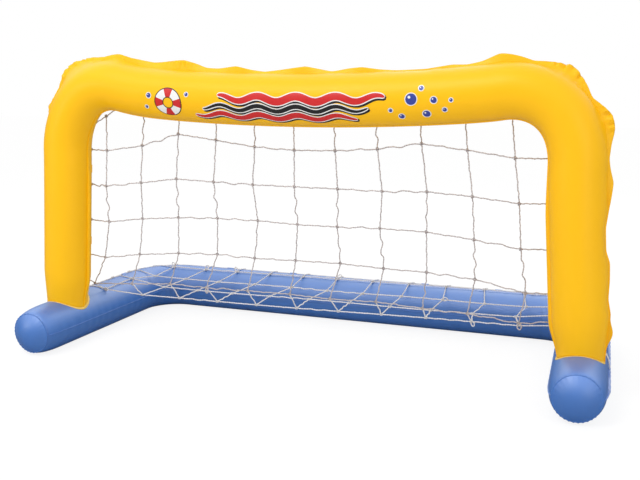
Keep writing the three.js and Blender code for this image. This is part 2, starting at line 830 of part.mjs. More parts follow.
function floorKnot(i, j) {
  const { reachShares, heightShare, shiftShares } = floorRows[i];
  const x = columnX(j, shiftShares) + uneven(i, j);
  const y = mix(...reachShares, columnShare(j)) * rearBarReach + uneven(j, i);
  const drape = baseTop(x, y, knotSize / 2 + drapeClearance);
  return new THREE.Vector3(x, y, Math.max(heightShare * baseTopHeight, drape));
}

function rearKnot(j) {
  const x = columnX(j, rearRow.shiftShares);
  const y = rearBarReach - mix(...rearRow.setbackShares, columnShare(j)) * baseRadius;
  return new THREE.Vector3(x, y, baseTop(x, y, knotSize / 2 + drapeClearance));
}

// The whole grid of knot places, by row from the crossbar to the rear bar
const netGrid = [
  ...range(backRows.length, (i) => range(netColumns, (j) => backKnot(i, j))),
  ...range(floorRows.length, (i) => range(netColumns, (j) => floorKnot(i, j))),
  range(netColumns, (j) => rearKnot(j)),
];

// A part of the net: the rows from first to last, with their knots linked along rows and columns
function weaveRows(first, last) {
  const weave = new Weave();
  const rows = range(last - first + 1, (k) => {
    const i = first + k;
    return netGrid[i].map((centre, j) => {
      const above = netGrid[Math.max(0, i - 1)][j];
      const below = netGrid[Math.min(netGrid.length - 1, i + 1)][j];
      return weave.knot(centre, new THREE.Vector3().subVectors(below, above));
    });
  });
  rows.forEach((row, k) => {
    row.slice(1).forEach((knot, j) => weave.link(row[j], "r+", knot, "r-"));
    if (k > 0) row.forEach((knot, j) => weave.link(rows[k - 1][j], "c+", knot, "c-"));
  });
  return { weave, rows };
}

const bySide = (row) => [
  { knot: row[0], face: "r-", end: -1 },
  { knot: row[row.length - 1], face: "r+", end: 1 },
];

// The upright part of the net, tied to the rope behind the crossbar and the posts
function netBack() {
  const { weave, rows } = weaveRows(0, backRows.length - 1);
  rows[0].forEach((knot) => {
    const wish = knot.centre.clone().setZ(crossbarEndHeight - archRadius);
    weave.tail(knot, "c-", [], tieAt(wish, knot.centre));
  });
  rows.forEach((row) => {
    for (const { knot, face, end } of bySide(row)) {
      const wish = knot.centre.clone().setX(end * postTopHalfSpan);
      weave.tail(knot, face, [], tieAt(wish, knot.centre));
    }
  });
  return weave.geometry();
}

// The lower part of the net, draped over the legs and the rear bar and tied to the rope outside them
function netFloor() {
  const { weave, rows } = weaveRows(backRows.length, netGrid.length - 1);
  const hung = netGrid[backRows.length - 1];
  rows[0].forEach((knot, j) => {
    const down = new THREE.Vector3().subVectors(knot.centre, hung[j]).normalize();
    weave.tail(knot, "c-", [hung[j].clone().addScaledVector(down, knotCornerShare * knotSize + weldGap)]);
  });
  rows.forEach((row, k) => {
    const onBar = k === rows.length - 1;
    for (const { knot, face, end } of bySide(row)) {
      const toShare = nearestShare(end * (legRearHalfSpan + (onBar ? 0 : baseRadius)), knot.centre.y);
      const ahead = knot.centre.x + (end * netPitch) / 4;
      const fromShare = onBar ? nearestShare(ahead, knot.centre.y) : toShare;
      weave.tail(knot, face, drape(fromShare, drapeStart, toShare), tieOnBase(toShare));
    }
  });
  rows[rows.length - 1].forEach((knot) => {
    const share = nearestShare(knot.centre.x, knot.centre.y);
    weave.tail(knot, "c+", drape(share, Math.PI / 2, share), tieOnBase(share));
  });
  return weave.geometry();
}

// A valve stands on a tube: its own z is its axis, its x points along the tube to the stopper's hinge,
// and zero is the film's outer face
function lathe(profile) {
  const points = profile.map(([radius, height]) => new THREE.Vector2(radius, height));
  return new THREE.LatheGeometry(points, roundSides).rotateX(Math.PI / 2);
}

function block(low, high) {
  const size = high.clone().sub(low);
  const centre = low.clone().add(high).multiplyScalar(0.5);
  return new THREE.BoxGeometry(size.x, size.y, size.z).translate(centre.x, centre.y, centre.z);
}

// Lays what is wider than the neck down on the round tube
function settleOnTube(geometry, tubeRadius) {
  const position = geometry.attributes.position;
  for (let i = 0; i < position.count; i++) {
    const spread = Math.hypot(position.getX(i), position.getY(i)) - valveNeckRadius;
    const drop = tubeRadius - Math.sqrt(tubeRadius ** 2 - position.getY(i) ** 2);
    const share = smooth(spread / (valveFlangeRadius - valveNeckRadius) / valveSettleShare);
    position.setZ(i, position.getZ(i) - drop * share);
  }
  return geometry;
}

const hingeHeight = valveNeckHeight + stopperSeatGap + tetherThickness / 2;

// The moulded flange, neck and inner tube, with the post that the stopper's tether bends on
function valveBody(tubeRadius) {
  const under = weldGap;
  const over = weldGap + valveFlangeThickness;
  const flangeSteps = valveFlangeShares.map((share) => mix(valveNeckRadius, valveFlangeRadius, share));
  const moulding = lathe([
    [valveBoreRadius, -valveTubeDepth],
    [valveNeckRadius, -valveTubeDepth],
    [valveNeckRadius, under],
    ...flangeSteps.map((radius) => [radius, under]),
    ...[...flangeSteps].reverse().map((radius) => [radius, over]),
    [valveNeckRadius, over],
    [valveNeckRadius, valveNeckHeight],
    [valveBoreRadius, valveNeckHeight],
    [valveBoreRadius, -valveTubeDepth],
  ]);
  const post = block(
    new THREE.Vector3(tetherReach - hingePostThickness / 2, -tetherWidth / 2, weldGap + valveFlangeThickness / 2),
    new THREE.Vector3(
      tetherReach + hingePostThickness / 2,
      tetherWidth / 2,
      hingeHeight - tetherThickness / 2 - hingeClearance,
    ),
  );
  return joined(settleOnTube(moulding, tubeRadius), post);
}

// The stopper: its cap and tapered plug, with the tether to the hinge
function valveStopper() {
  const low = valveNeckHeight + stopperSeatGap;
  const moulding = lathe([
    [0, low - plugDepth],
    [plugTipRadius, low - plugDepth],
    [plugTopRadius, low],
    [stopperRadius, low],
    [stopperRadius, low + stopperThickness],
    [0, low + stopperThickness],
  ]);
  const strap = block(
    new THREE.Vector3(stopperRadius / 2, -tetherWidth / 2, low),
    new THREE.Vector3(tetherReach, tetherWidth / 2, low + tetherThickness),
  );
  const knuckle = new THREE.CylinderGeometry(
    tetherThickness / 2,
    tetherThickness / 2,
    tetherWidth,
    roundSides / 2,
  ).translate(0, 0, 0);
  return joined(joined(moulding, strap), knuckle.translate(tetherReach, 0, hingeHeight));
}

// The non-return flap, hinged at the rim of the inner tube
function valveFlap() {
  const top = -valveTubeDepth - flapSeatGap;
  return lathe([
    [0, top - flapThickness],
    [flapRadius, top - flapThickness],
    [flapRadius, top],
    [0, top],
  ]);
}

// A valve's place on a tube, as a matrix from the valve's own axes
function valvePlace(tube, u, angle, toEnd) {
  const frame = tube.frameAt(u);
  const point = tube.spot(u, angle, 0);
  const axis = point.clone().sub(frame.centre).normalize();
  const alongTube = frame.along.clone().multiplyScalar(toEnd);
  const third = new THREE.Vector3().crossVectors(axis, alongTube);
  return new THREE.Matrix4().makeBasis(alongTube, third, axis).setPosition(point);
}

function valveHole() {
  const hole = new THREE.CylinderGeometry(
    valveNeckRadius + weldGap,
    valveNeckRadius + weldGap,
    2 * valveTubeDepth,
    roundSides,
  );
  return hole.rotateX(Math.PI / 2);
}

function valveGroup(name, tubeRadius, matrix) {
  const group = new THREE.Group();
  group.add(named(name + "_valve_body", valveBody(tubeRadius), clearVinyl));
  group.add(named(name + "_valve_stopper", valveStopper(), clearVinyl));
  group.add(named(name + "_valve_flap", valveFlap(), clearVinyl));
  group.applyMatrix4(matrix);
  return group;
}

// The arch's valve stands behind the right post, and the base's on the outside of the left leg
const archValveShare = 1 - (archValveHeight - baseCentre - baseRadius - footBlendHeight) / arch.length;
const archValve = valvePlace(arch, archValveShare, Math.PI / 2, 1);
const baseValve = valvePlace(
  base,
  (baseValveReach + legFrontReach) / base.length,
  baseValveTurnShare * Math.PI,
  -1,
);

const goal = new THREE.Group();
goal.add(named("arch_front_panel", archPanel(-1), yellow));
goal.add(named("arch_back_panel", cut(archPanel(1), valveHole().applyMatrix4(archValve)), yellow));
goal.add(named("base_upper_panel", cut(basePanel(1), valveHole().applyMatrix4(baseValve)), blue));
goal.add(named("base_lower_panel", basePanel(-1), blue));
for (const [side, end] of [
  ["left", -1],
  ["right", 1],
]) {
  goal.add(named(side + "_foot_patch", footPatch(end), yellow));
  goal.add(named(side + "_end_cap", endCap(end), blue));
}
goal.add(named("border_rope", ropeGeometry(), cord));
goal.add(named("net_back", netBack(), cord));
goal.add(named("net_floor", netFloor(), cord));
archPatches.forEach((u, k) => {
  goal.add(named("arch_rope_patch_" + (k + 1), ropePatch(arch, archRopeAngle, u), yellow));
});
basePatches.forEach((u, k) => {
  goal.add(named("base_rope_patch_" + (k + 1), ropePatch(base, baseRopeAngle, u), blue));
});
goal.add(valveGroup("arch", archRadius, archValve));
goal.add(valveGroup("base", baseRadius, baseValve));

// The origin lies on the floor under the middle of the goal's length and depth
const bounds = new THREE.Box3().setFromObject(goal, true);
goal.position.set(0, -(bounds.min.y + bounds.max.y) / 2, -bounds.min.z);

export default goal;
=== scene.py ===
"""An inflatable pool goal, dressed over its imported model.

Sizes are in millimetres, with x across the goal, y from the mouth to the rear and z up from the floor. They
become metres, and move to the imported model's own origin, only where a mesh is made. The docstring of a method
that works out a surface says its formula in words.
"""

from __future__ import annotations

import logging
import math
from dataclasses import dataclass, field
from enum import Enum
from typing import Any

import bpy
import numpy as np
from mathutils import Matrix, Vector

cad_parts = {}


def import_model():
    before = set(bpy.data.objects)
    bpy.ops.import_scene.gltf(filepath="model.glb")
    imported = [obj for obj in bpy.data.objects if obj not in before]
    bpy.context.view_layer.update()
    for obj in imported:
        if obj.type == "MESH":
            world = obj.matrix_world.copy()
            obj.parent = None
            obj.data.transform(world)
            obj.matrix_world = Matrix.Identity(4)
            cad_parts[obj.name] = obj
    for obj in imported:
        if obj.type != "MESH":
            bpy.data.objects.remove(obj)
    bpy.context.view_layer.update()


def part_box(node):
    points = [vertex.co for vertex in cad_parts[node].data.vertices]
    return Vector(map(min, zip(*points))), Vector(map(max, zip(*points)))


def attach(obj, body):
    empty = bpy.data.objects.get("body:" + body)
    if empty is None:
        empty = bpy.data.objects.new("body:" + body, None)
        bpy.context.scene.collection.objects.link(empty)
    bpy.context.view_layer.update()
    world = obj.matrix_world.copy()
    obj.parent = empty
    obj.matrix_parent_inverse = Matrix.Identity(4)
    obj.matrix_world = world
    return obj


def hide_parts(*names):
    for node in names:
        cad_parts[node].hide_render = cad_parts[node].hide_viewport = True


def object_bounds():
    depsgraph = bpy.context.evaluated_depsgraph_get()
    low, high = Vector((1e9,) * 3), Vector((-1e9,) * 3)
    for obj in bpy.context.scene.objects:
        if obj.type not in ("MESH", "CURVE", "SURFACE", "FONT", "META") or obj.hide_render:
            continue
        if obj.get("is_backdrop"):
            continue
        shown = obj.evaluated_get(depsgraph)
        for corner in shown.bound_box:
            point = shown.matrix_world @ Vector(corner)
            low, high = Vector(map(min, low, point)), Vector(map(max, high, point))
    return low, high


log = logging.getLogger("goal")

Array = np.ndarray
Pair = tuple[float, float]
Point = tuple[float, float, float]
Colour = Point
Places = tuple[tuple[int, float], ...]
Material = bpy.types.Material
Socket = bpy.types.NodeSocket

MILLIMETRE = 0.001
FILM = 0.4
TURN = 2 * math.pi
ACROSS = np.array([1.0, 0.0, 0.0])
BACKWARD = np.array([0.0, 1.0, 0.0])
UPWARD = np.array([0.0, 0.0, 1.0])


class Slot(Enum):
    """The record's material slots."""

    YELLOW = "yellow_vinyl"
    BLUE = "blue_vinyl"
    CLEAR = "clear_vinyl"
    CORD = "net_cord"


class ArchSide(Enum):
    """The two film panels of the arch, by the sign of y."""

    FRONT = -1
    BACK = 1


class BaseSide(Enum):
    """The two film panels of the base, by the sign of z."""

    LOWER = -1
    UPPER = 1


class End(Enum):
    """The two ends of a tube, by the sign of x."""

    LEFT = -1
    RIGHT = 1


def mix(first: Any, second: Any, share: Any) -> Any:
    """The value at a share of the way from the first to the second."""
    return first + (second - first) * share


def eased(share: Any) -> Any:
    """The share held between 0 and 1 and eased: three times its square less twice its cube."""
    held = np.clip(share, 0, 1)
    return held**2 * (3 - 2 * held)


def unit(vectors: Array) -> Array:
    """Vectors scaled to length one along the last axis."""
    return vectors / np.linalg.norm(vectors, axis=-1, keepdims=True)


def least_axis(way: Array) -> Array:
    """The axis that a way runs along the least."""
    return np.eye(3)[int(np.argmin(np.abs(way)))]


def bell(distance: Any, reach: float) -> Any:
    """One at no distance, falling off as e to the minus square of distance over reach."""
    return np.exp(-((distance / reach) ** 2))


def bezier(controls: list[Array], samples: int) -> Array:
    """Points of a Bezier curve, by repeated mixing of neighbouring control points.

    Args:
        controls: The control points, two for a straight line.
        samples: How many points to work out.

    Returns:
        The points, one row each.
    """
    share = np.linspace(0, 1, samples)[:, None]
    layer = [np.broadcast_to(control, (samples, len(control))) for control in controls]
    while len(layer) > 1:
        layer = [mix(first, second, share) for first, second in zip(layer, layer[1:])]
    return layer[0]


def lengths_along(path: Array) -> Array:
    """The distance along a path of points from its first point to each."""
    steps = np.linalg.norm(np.diff(path, axis=0), axis=1)
    return np.concatenate([[0.0], np.cumsum(steps)])


def resampled(path: Array, step: float) -> Array:
    """The path with evenly spaced points, about a step apart."""
    lengths = lengths_along(path)
    count = max(3, int(round(lengths[-1] / step)) + 1)
    wanted = np.linspace(0, lengths[-1], count)
    return np.stack([np.interp(wanted, lengths, path[:, axis]) for axis in range(3)], axis=1)


def rounded(path: Array, step: float, reach: float) -> Array:
    """The path with rounded corners: evenly spaced points, each the mean of its neighbours within the reach.

    Args:
        path: The points of the path.
        step: The distance between the new points.
        reach: How far to each side the mean goes; it shrinks towards the ends, which stay in place.

    Returns:
        The new points.
    """
    even = resampled(path, step)
    sums = np.vstack([np.zeros(3), np.cumsum(even, axis=0)])
    places = np.arange(len(even))
    half = np.minimum(np.minimum(places, places[::-1]), max(1, int(round(reach / step))))
    return (sums[places + half + 1] - sums[places - half]) / (2 * half + 1)[:, None]


@dataclass(frozen=True)
class Surface:
    """Points with quads and triangles between them, and each point's place in the surface's own pattern."""

    points: Array
    quads: Array
    triangles: Array = field(default_factory=lambda: np.empty((0, 3), dtype=int))
    uv: Array | None = None

    @staticmethod
    def grid(points: Array, wrap: bool = False, loop: bool = False, uv: Array | None = None) -> Surface:
        """A surface through a grid of points.

        Args:
            points: The points, rows by columns by three.
            wrap: Whether the last column joins the first.
            loop: Whether the last row joins the first.
            uv: The points' places in the pattern, rows by columns by two.

        Returns:
            The surface, with a quad in each cell of the grid.
        """
        rows, columns = points.shape[:2]
        row = np.arange(rows if loop else rows - 1)[:, None]
        column = np.arange(columns if wrap else columns - 1)[None, :]
        next_row = (row + 1) % rows
        next_column = (column + 1) % columns
        cells = ((row, column), (row, next_column), (next_row, next_column), (next_row, column))
        corners = [i * columns + j for i, j in cells]
        quads = np.stack(np.broadcast_arrays(*corners), axis=-1).reshape(-1, 4)
        flat_uv = None if uv is None else uv.reshape(-1, 2)
        return Surface(points.reshape(-1, 3), quads, uv=flat_uv)

    def capped(self, columns: int, first: Array | None, last: Array | None) -> Surface:
        """The surface with the end rings of its wrapped grid filled in by triangles to poles.

        Args:
            columns: How many points a ring has.
            first: The pole before the first ring, if it has one.
            last: The pole after the last ring, if it has one.

        Returns:
            The surface with its poles.
        """
        made = self
        rings = (np.arange(columns)[::-1], len(self.points) - columns + np.arange(columns))
        for ring, pole in zip(rings, (first, last)):
            if pole is not None:
                fan = np.stack([ring, np.roll(ring, -1), np.full(columns, len(made.points))], axis=1)
                uv = None if made.uv is None else np.vstack([made.uv, made.uv[ring].mean(axis=0)])
                points = np.vstack([made.points, pole])
                made = Surface(points, made.quads, np.vstack([made.triangles, fan]), uv)
        return made

    def facing(self, outwards: Array) -> Surface:
        """The surface turned so that its faces look the way that is outwards, on the whole.

        Args:
            outwards: The way out at each point, or one for all.

        Returns:
            The surface, turned over if the sum of its quads' areas times the way out is negative.
        """
        corners = self.points[self.quads]
        areas = np.cross(corners[:, 2] - corners[:, 0], corners[:, 3] - corners[:, 1])
        ways = np.broadcast_to(outwards, self.points.shape)
        if np.sum(areas * ways[self.quads[:, 0]]) > 0:
            return self
        return Surface(self.points, self.quads[:, ::-1], self.triangles[:, ::-1], self.uv)

    def closed_outwards(self) -> Surface:
        """A closed surface turned so that it faces away from its own middle, on the whole."""
        return self.facing(self.points - self.points.mean(axis=0))

    def placed(self, origin: Array, axes: Array) -> Surface:
        """The surface carried to an origin, with its own x, y and z along the rows of axes."""
        return Surface(origin + self.points @ axes, self.quads, self.triangles, self.uv)


def joined(parts: list[Surface]) -> Surface:
    """One surface made of several, side by side."""
    starts = np.cumsum([0] + [len(part.points) for part in parts[:-1]])
    return Surface(
        np.vstack([part.points for part in parts]),
        np.vstack([part.quads + start for part, start in zip(parts, starts)]),
        np.vstack([part.triangles + start for part, start in zip(parts, starts)]),
        None if parts[0].uv is None else np.vstack([part.uv for part in parts]),
    )


def lathed(profile: Array, sides: int) -> Surface:
    """A closed profile turned round the z axis.

    Args:
        profile: Pairs of radius and height, in order round the section, or from pole to pole.
        sides: How many steps go round the axis.

    Returns:
        The surface: at each angle the profile's radius lies along the angle's cosine and sine.
    """
    angles = np.arange(sides) * TURN / sides
    out = np.stack([np.cos(angles), np.sin(angles)], axis=1)[None] * profile[:, None, :1]
    points = np.concatenate([out, np.repeat(profile[:, None, 1:], sides, axis=1)], axis=-1)
    poles = [np.array([0, 0, height]) if radius == 0 else None for radius, height in profile[[0, -1]]]
    closed = all(pole is None for pole in poles)
    surface = Surface.grid(points[profile[:, 0] > 0], wrap=True, loop=closed)
    return surface.capped(sides, *poles).closed_outwards()


class Value:
    """A number in a shader, whose sums and products in Python become Math nodes."""

    def __init__(self, shader: Shader, socket: Socket) -> None:
        """Holds an output socket and the shader that it belongs to."""
        self.shader = shader
        self.socket = socket

    def _math(self, operation: str, first: Any, second: Any) -> Value:
        """A Math node on two operands, each a value or a plain number."""
        made = self.shader.node("ShaderNodeMath", {"operation": operation}, {0: first, 1: second})
        return Value(self.shader, made.outputs[0])

    def __add__(self, other: Any) -> Value:
        """The sum."""
        return self._math("ADD", self, other)

    def __sub__(self, other: Any) -> Value:
        """The difference."""
        return self._math("SUBTRACT", self, other)

    def __rsub__(self, other: Any) -> Value:
        """The difference, from the right."""
        return self._math("SUBTRACT", other, self)

    def __mul__(self, other: Any) -> Value:
        """The product."""
        return self._math("MULTIPLY", self, other)

    def sine(self) -> Value:
        """The sine of the value in radians."""
        return self._math("SINE", self, 0.0)


class Shader:
    """A material or a world under construction."""

    def __init__(self, owner: Material | bpy.types.World) -> None:
        """Empties the owner's nodes."""
        owner.use_nodes = True
        self.owner = owner
        self.tree = owner.node_tree
        self.tree.nodes.clear()

    def node(self, kind: str, settings: dict[str, Any], inputs: dict[Any, Any]) -> bpy.types.Node:
        """Adds a node.

        Args:
            kind: The node's type.
            settings: Its own settings, which are set first.
            inputs: Values or links for its sockets, by name or number.

        Returns:
            The node.
        """
        made = self.tree.nodes.new(kind)
        for name, value in settings.items():
            setattr(made, name, value)
        for key, value in inputs.items():
            source = value.socket if isinstance(value, Value) else value
            if isinstance(source, Socket):
                self.tree.links.new(source, made.inputs[key])
            else:
                made.inputs[key].default_value = source
        return made

    def coordinates(self, kind: str) -> Socket:
        """The surface's Object or UV coordinates."""
        return self.node("ShaderNodeTexCoord", {}, {}).outputs[kind]

    def noise(self, vector: Socket, scale: float, detail: float) -> Value:
        """Soft noise between 0 and 1."""
        inputs = {"Vector": vector, "Scale": scale, "Detail": detail}
        return Value(self, self.node("ShaderNodeTexNoise", {}, inputs).outputs["Fac"])

    def blend(self, share: Value, first: Colour, second: Colour) -> Socket:
        """The colour at a share of the way from the first to the second."""
        colours = {0: share, 6: (*first, 1.0), 7: (*second, 1.0)}
        return self.node("ShaderNodeMix", {"data_type": "RGBA"}, colours).outputs[2]

    def split(self, vector: Socket) -> list[Value]:
        """A vector's x, y and z."""
        made = self.node("ShaderNodeSeparateXYZ", {}, {0: vector})
        return [Value(self, socket) for socket in made.outputs]

    def bump(self, height: Value, strength: float, distance: float) -> Socket:
        """The normal of a surface raised by a height."""
        inputs = {"Height": height, "Strength": strength, "Distance": distance}
        return self.node("ShaderNodeBump", {}, inputs).outputs["Normal"]

    def surface(self, inputs: dict[str, Any]) -> Material:
        """Ends the material with a Principled surface and returns it."""
        skin = self.node("ShaderNodeBsdfPrincipled", {}, inputs)
        self.node("ShaderNodeOutputMaterial", {}, {"Surface": skin.outputs[0]})
        return self.owner


@dataclass(frozen=True)
class VinylFinish:
    """Glossy inflatable film, a little uneven in colour and gloss, with faint soft waves in its surface."""

    name: str
    colour: Colour
    deep: Colour
    roughness: float = 0.38
    gloss_spread: float = 0.08
    shine: float = 0.5
    coat: float = 0.0
    coat_roughness: float = 0.45
    cloud_scale: float = 5.0
    wave_scale: float = 26.0
    wave_height: float = 0.0012
    wave_strength: float = 0.35

    def material(self) -> Material:
        """Colour and gloss follow slow noise over the piece, and a finer noise raises the waves."""
        shader = Shader(bpy.data.materials.new(self.name))
        place = shader.coordinates("Object")
        cloud = shader.noise(place, self.cloud_scale, 2.0)
        wave = shader.noise(place, self.wave_scale, 2.0)
        return shader.surface(
            {
                "Base Color": shader.blend(cloud, self.colour, self.deep),
                "Roughness": (wave - 0.5) * self.gloss_spread + self.roughness,
                "Specular IOR Level": self.shine,
                "Coat Weight": self.coat,
                "Coat Roughness": self.coat_roughness,
                "Normal": shader.bump(wave, self.wave_strength, self.wave_height),
            }
        )


@dataclass(frozen=True)
class CordFinish:
    """Laid cord of pale yarn, soiled a little here and there, with fine fibres along its strands."""

    name: str
    pale: Colour
    soiled: Colour
    roughness: float = 0.82
    sheen: float = 0.15
    fibres_round: float = 30.0
    fibre_slant: float = 1500.0
    fibre_height: float = 0.0004
    fibre_strength: float = 0.5
    soil_scale: float = 14.0
    fibre_share: float = 0.3

    def material(self) -> Material:
        """Fibres are the sine of a slanting sum of the places along and round the cord."""
        shader = Shader(bpy.data.materials.new(self.name))
        along, around, _ = shader.split(shader.coordinates("UV"))
        fibre = (around * (self.fibres_round * TURN) + along * self.fibre_slant).sine() * 0.5 + 0.5
        soil = shader.noise(shader.coordinates("Object"), self.soil_scale, 4.0)
        share = soil * (1 - self.fibre_share) + fibre * self.fibre_share
        return shader.surface(
            {
                "Base Color": shader.blend(share, self.pale, self.soiled),
                "Roughness": self.roughness,
                "Sheen Weight": self.sheen,
                "Normal": shader.bump(fibre, self.fibre_strength, self.fibre_height),
            }
        )


@dataclass(frozen=True)
class MottledFinish:
    """A smooth finish with a fine mottle in it, such as printing ink or milky moulded vinyl."""

    name: str
    colour: Colour
    deep: Colour
    roughness: float = 0.36
    mottle_scale: float = 420.0
    mottle_detail: float = 2.0
    mottle_height: float = 0.00005
    mottle_strength: float = 0.3
    layer: str = "Coat Weight"
    layer_level: float = 0.2

    def material(self) -> Material:
        """The colour follows fine noise, which also raises the surface a little."""
        shader = Shader(bpy.data.materials.new(self.name))
        mottle = shader.noise(shader.coordinates("Object"), self.mottle_scale, self.mottle_detail)
        return shader.surface(
            {
                "Base Color": shader.blend(mottle, self.colour, self.deep),
                "Roughness": self.roughness,
                self.layer: self.layer_level,
                "Normal": shader.bump(mottle, self.mottle_strength, self.mottle_height),
            }
        )


def added(name: str, data: bpy.types.ID) -> bpy.types.Object:
    """A new object in the scene, with its mesh, lamp or camera."""
    made = bpy.data.objects.new(name, data)
    bpy.context.scene.collection.objects.link(made)
    return made


@dataclass(frozen=True)
class Workshop:
    """Makes pieces of the scene from surfaces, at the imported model's place."""

    shift: Array

    def place(self, point: Point) -> Vector:
        """A point of the goal in metres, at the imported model's place."""
        return Vector((np.array(point) + self.shift) * MILLIMETRE)

    def piece(
        self,
        name: str,
        surface: Surface,
        material: Material,
        slot: Slot | None = None,
        stands_for: tuple[str, ...] = (),
        body: str = "root",
        crease_degrees: float = 40.0,
    ) -> bpy.types.Object:
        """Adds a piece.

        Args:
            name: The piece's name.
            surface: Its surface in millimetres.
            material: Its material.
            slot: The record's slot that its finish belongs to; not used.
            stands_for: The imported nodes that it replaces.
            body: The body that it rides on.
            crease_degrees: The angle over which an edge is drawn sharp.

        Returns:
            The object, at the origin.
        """
        mesh = bpy.data.meshes.new(name)
        points = (surface.points + self.shift) * MILLIMETRE
        mesh.from_pydata(points.tolist(), [], surface.quads.tolist() + surface.triangles.tolist())
        if surface.uv is not None:
            corners = np.empty(len(mesh.loops), dtype=np.int32)
            mesh.loops.foreach_get("vertex_index", corners)
            layer = mesh.uv_layers.new(name="UVMap")
            layer.data.foreach_set("uv", (surface.uv[corners] * MILLIMETRE).ravel().astype(np.float32))
        mesh.shade_smooth()
        mesh.set_sharp_from_angle(angle=math.radians(crease_degrees))
        mesh.materials.append(material)
        made = added(name, mesh)
        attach(made, body)
        if stands_for:
            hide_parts(*stands_for)
        log.info("%s: %d points, rides on %s", name, len(surface.points), body)
        return made

    def film(self, node: str, surface: Surface, material: Material, slot: Slot) -> None:
        """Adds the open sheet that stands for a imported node, with its thickness inwards from its outer face.

        Args:
            node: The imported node.
            surface: The sheet's outer face.
            material: Its material.
            slot: The record's slot that its finish belongs to.
        """
        made = self.piece(f"{node}_film", surface, material, slot, (node,))
        wall = made.modifiers.new("film", "SOLIDIFY")
        wall.thickness = FILM * MILLIMETRE
        wall.offset = -1


class Tube:
    """A round tube on a symmetric centre line: a straight, a bend, the bar, a bend and a straight.

    Its places are told by a share of its length and by an angle from its outer seam towards its third
    direction, which is square to the plane that it lies in.
    """

    arc_handle_share = 0.5523
    samples = 600

    def __init__(
        self, start: Array, corner: Array, bar_start: Array, bar_bend: Array, bend_radius: float,
        radius: float, third: Array, turn: float,
    ) -> None:
        """Lays out the centre line.

        Args:
            start: The left end.
            corner: Where the straight would meet the bar's level.
            bar_start: The bar's left end.
            bar_bend: The middle control point of the bar, which may sag.
            bend_radius: The radius of the bends.
            radius: The tube's radius.
            third: The direction square to the tube's plane.
            turn: The sign that turns the tube's own sideways direction outwards.
        """
        self.radius = radius
        self.third = third
        mirror = np.array([-1.0, 1.0, 1.0])
        along = unit(corner - start)
        bar_along = unit(bar_bend - bar_start)
        straight_end = corner - along * bend_radius
        handle = bend_radius * self.arc_handle_share
        straight = bezier([start, straight_end], self.samples)
        turned = [straight_end, straight_end + along * handle, bar_start - bar_along * handle, bar_start]
        bend = bezier(turned, self.samples)
        bar = bezier([bar_start, bar_bend, bar_start * mirror], self.samples)
        left = [straight[:-1], bend[:-1]]
        right = [(bend * mirror)[::-1][:-1], (straight * mirror)[::-1]]
        self.path = np.vstack([*left, bar[:-1], *right])
        self.lengths = lengths_along(self.path)
        self.length = float(self.lengths[-1])
        self.piece_ends = self.lengths[[0, *(np.arange(1, 5) * (self.samples - 1)), -1]]
        tangents = unit(np.gradient(self.path, self.lengths, axis=0))
        self.tangents = tangents
        self.outwards = unit(np.cross(tangents, third)) * turn

    def _at(self, values: Array, share: Any) -> Array:
        """Values along the centre line at shares of its length."""
        wanted = np.clip(share, 0, 1) * self.length
        return np.stack([np.interp(wanted, self.lengths, values[:, axis]) for axis in range(3)], axis=-1)

    def centre(self, share: Any) -> Array:
        """The centre line's points at shares of its length."""
        return self._at(self.path, share)

    def along(self, share: Any) -> Array:
        """The directions along the tube at shares of its length."""
        return unit(self._at(self.tangents, share))

    def outward(self, share: Any) -> Array:
        """The directions out of the goal's inside at shares of its length."""
        return unit(self._at(self.outwards, share))

    def normal(self, share: Any, angle: Any) -> Array:
        """The directions square to the tube's surface at shares and angles."""
        turned = np.asarray(angle)[..., None]
        return self.outward(share) * np.cos(turned) + self.third * np.sin(turned)

    def spot(self, share: Any, angle: Any, off: Any = 0.0) -> Array:
        """Points so far off the tube's surface at shares and angles."""
        reach = np.asarray(self.radius + off)[..., None]
        return self.centre(share) + self.normal(share, angle) * reach

    def share_in(self, piece: int, share: float) -> float:
        """The share of the whole length that lies at a share of one of its five lengths."""
        return float(mix(self.piece_ends[piece], self.piece_ends[piece + 1], share)) / self.length

    def nearest_share(self, x: Any, y: Any) -> Array:
        """The shares of the centre line's points that are nearest to places of the floor."""
        places = np.stack([np.ravel(x), np.ravel(y)], axis=1)
        line = self.path[:, :2]
        squares = (places**2).sum(1)[:, None] + (line**2).sum(1)[None] - 2 * places @ line.T
        return (self.lengths[squares.argmin(axis=1)] / self.length).reshape(np.shape(x))

    def swept(self, share: Array, section: Array) -> Surface:
        """A section carried along the tube.

        Args:
            share: The stations.
            section: For each station, pairs of out and up.

        Returns:
            The surface: each pair lies so far outwards and so far along the third direction from the centre.
        """
        centre = self.centre(share)[:, None]
        reach = self.outward(share)[:, None] * section[..., :1] + self.third * section[..., 1:]
        distance = np.broadcast_to((share * self.length)[:, None], section.shape[:2])
        around = np.broadcast_to(lengths_along(section[len(section) // 2]), section.shape[:2])
        uv = np.stack([distance, around], axis=-1)
        return Surface.grid(centre + reach, uv=uv).facing(reach.reshape(-1, 3))


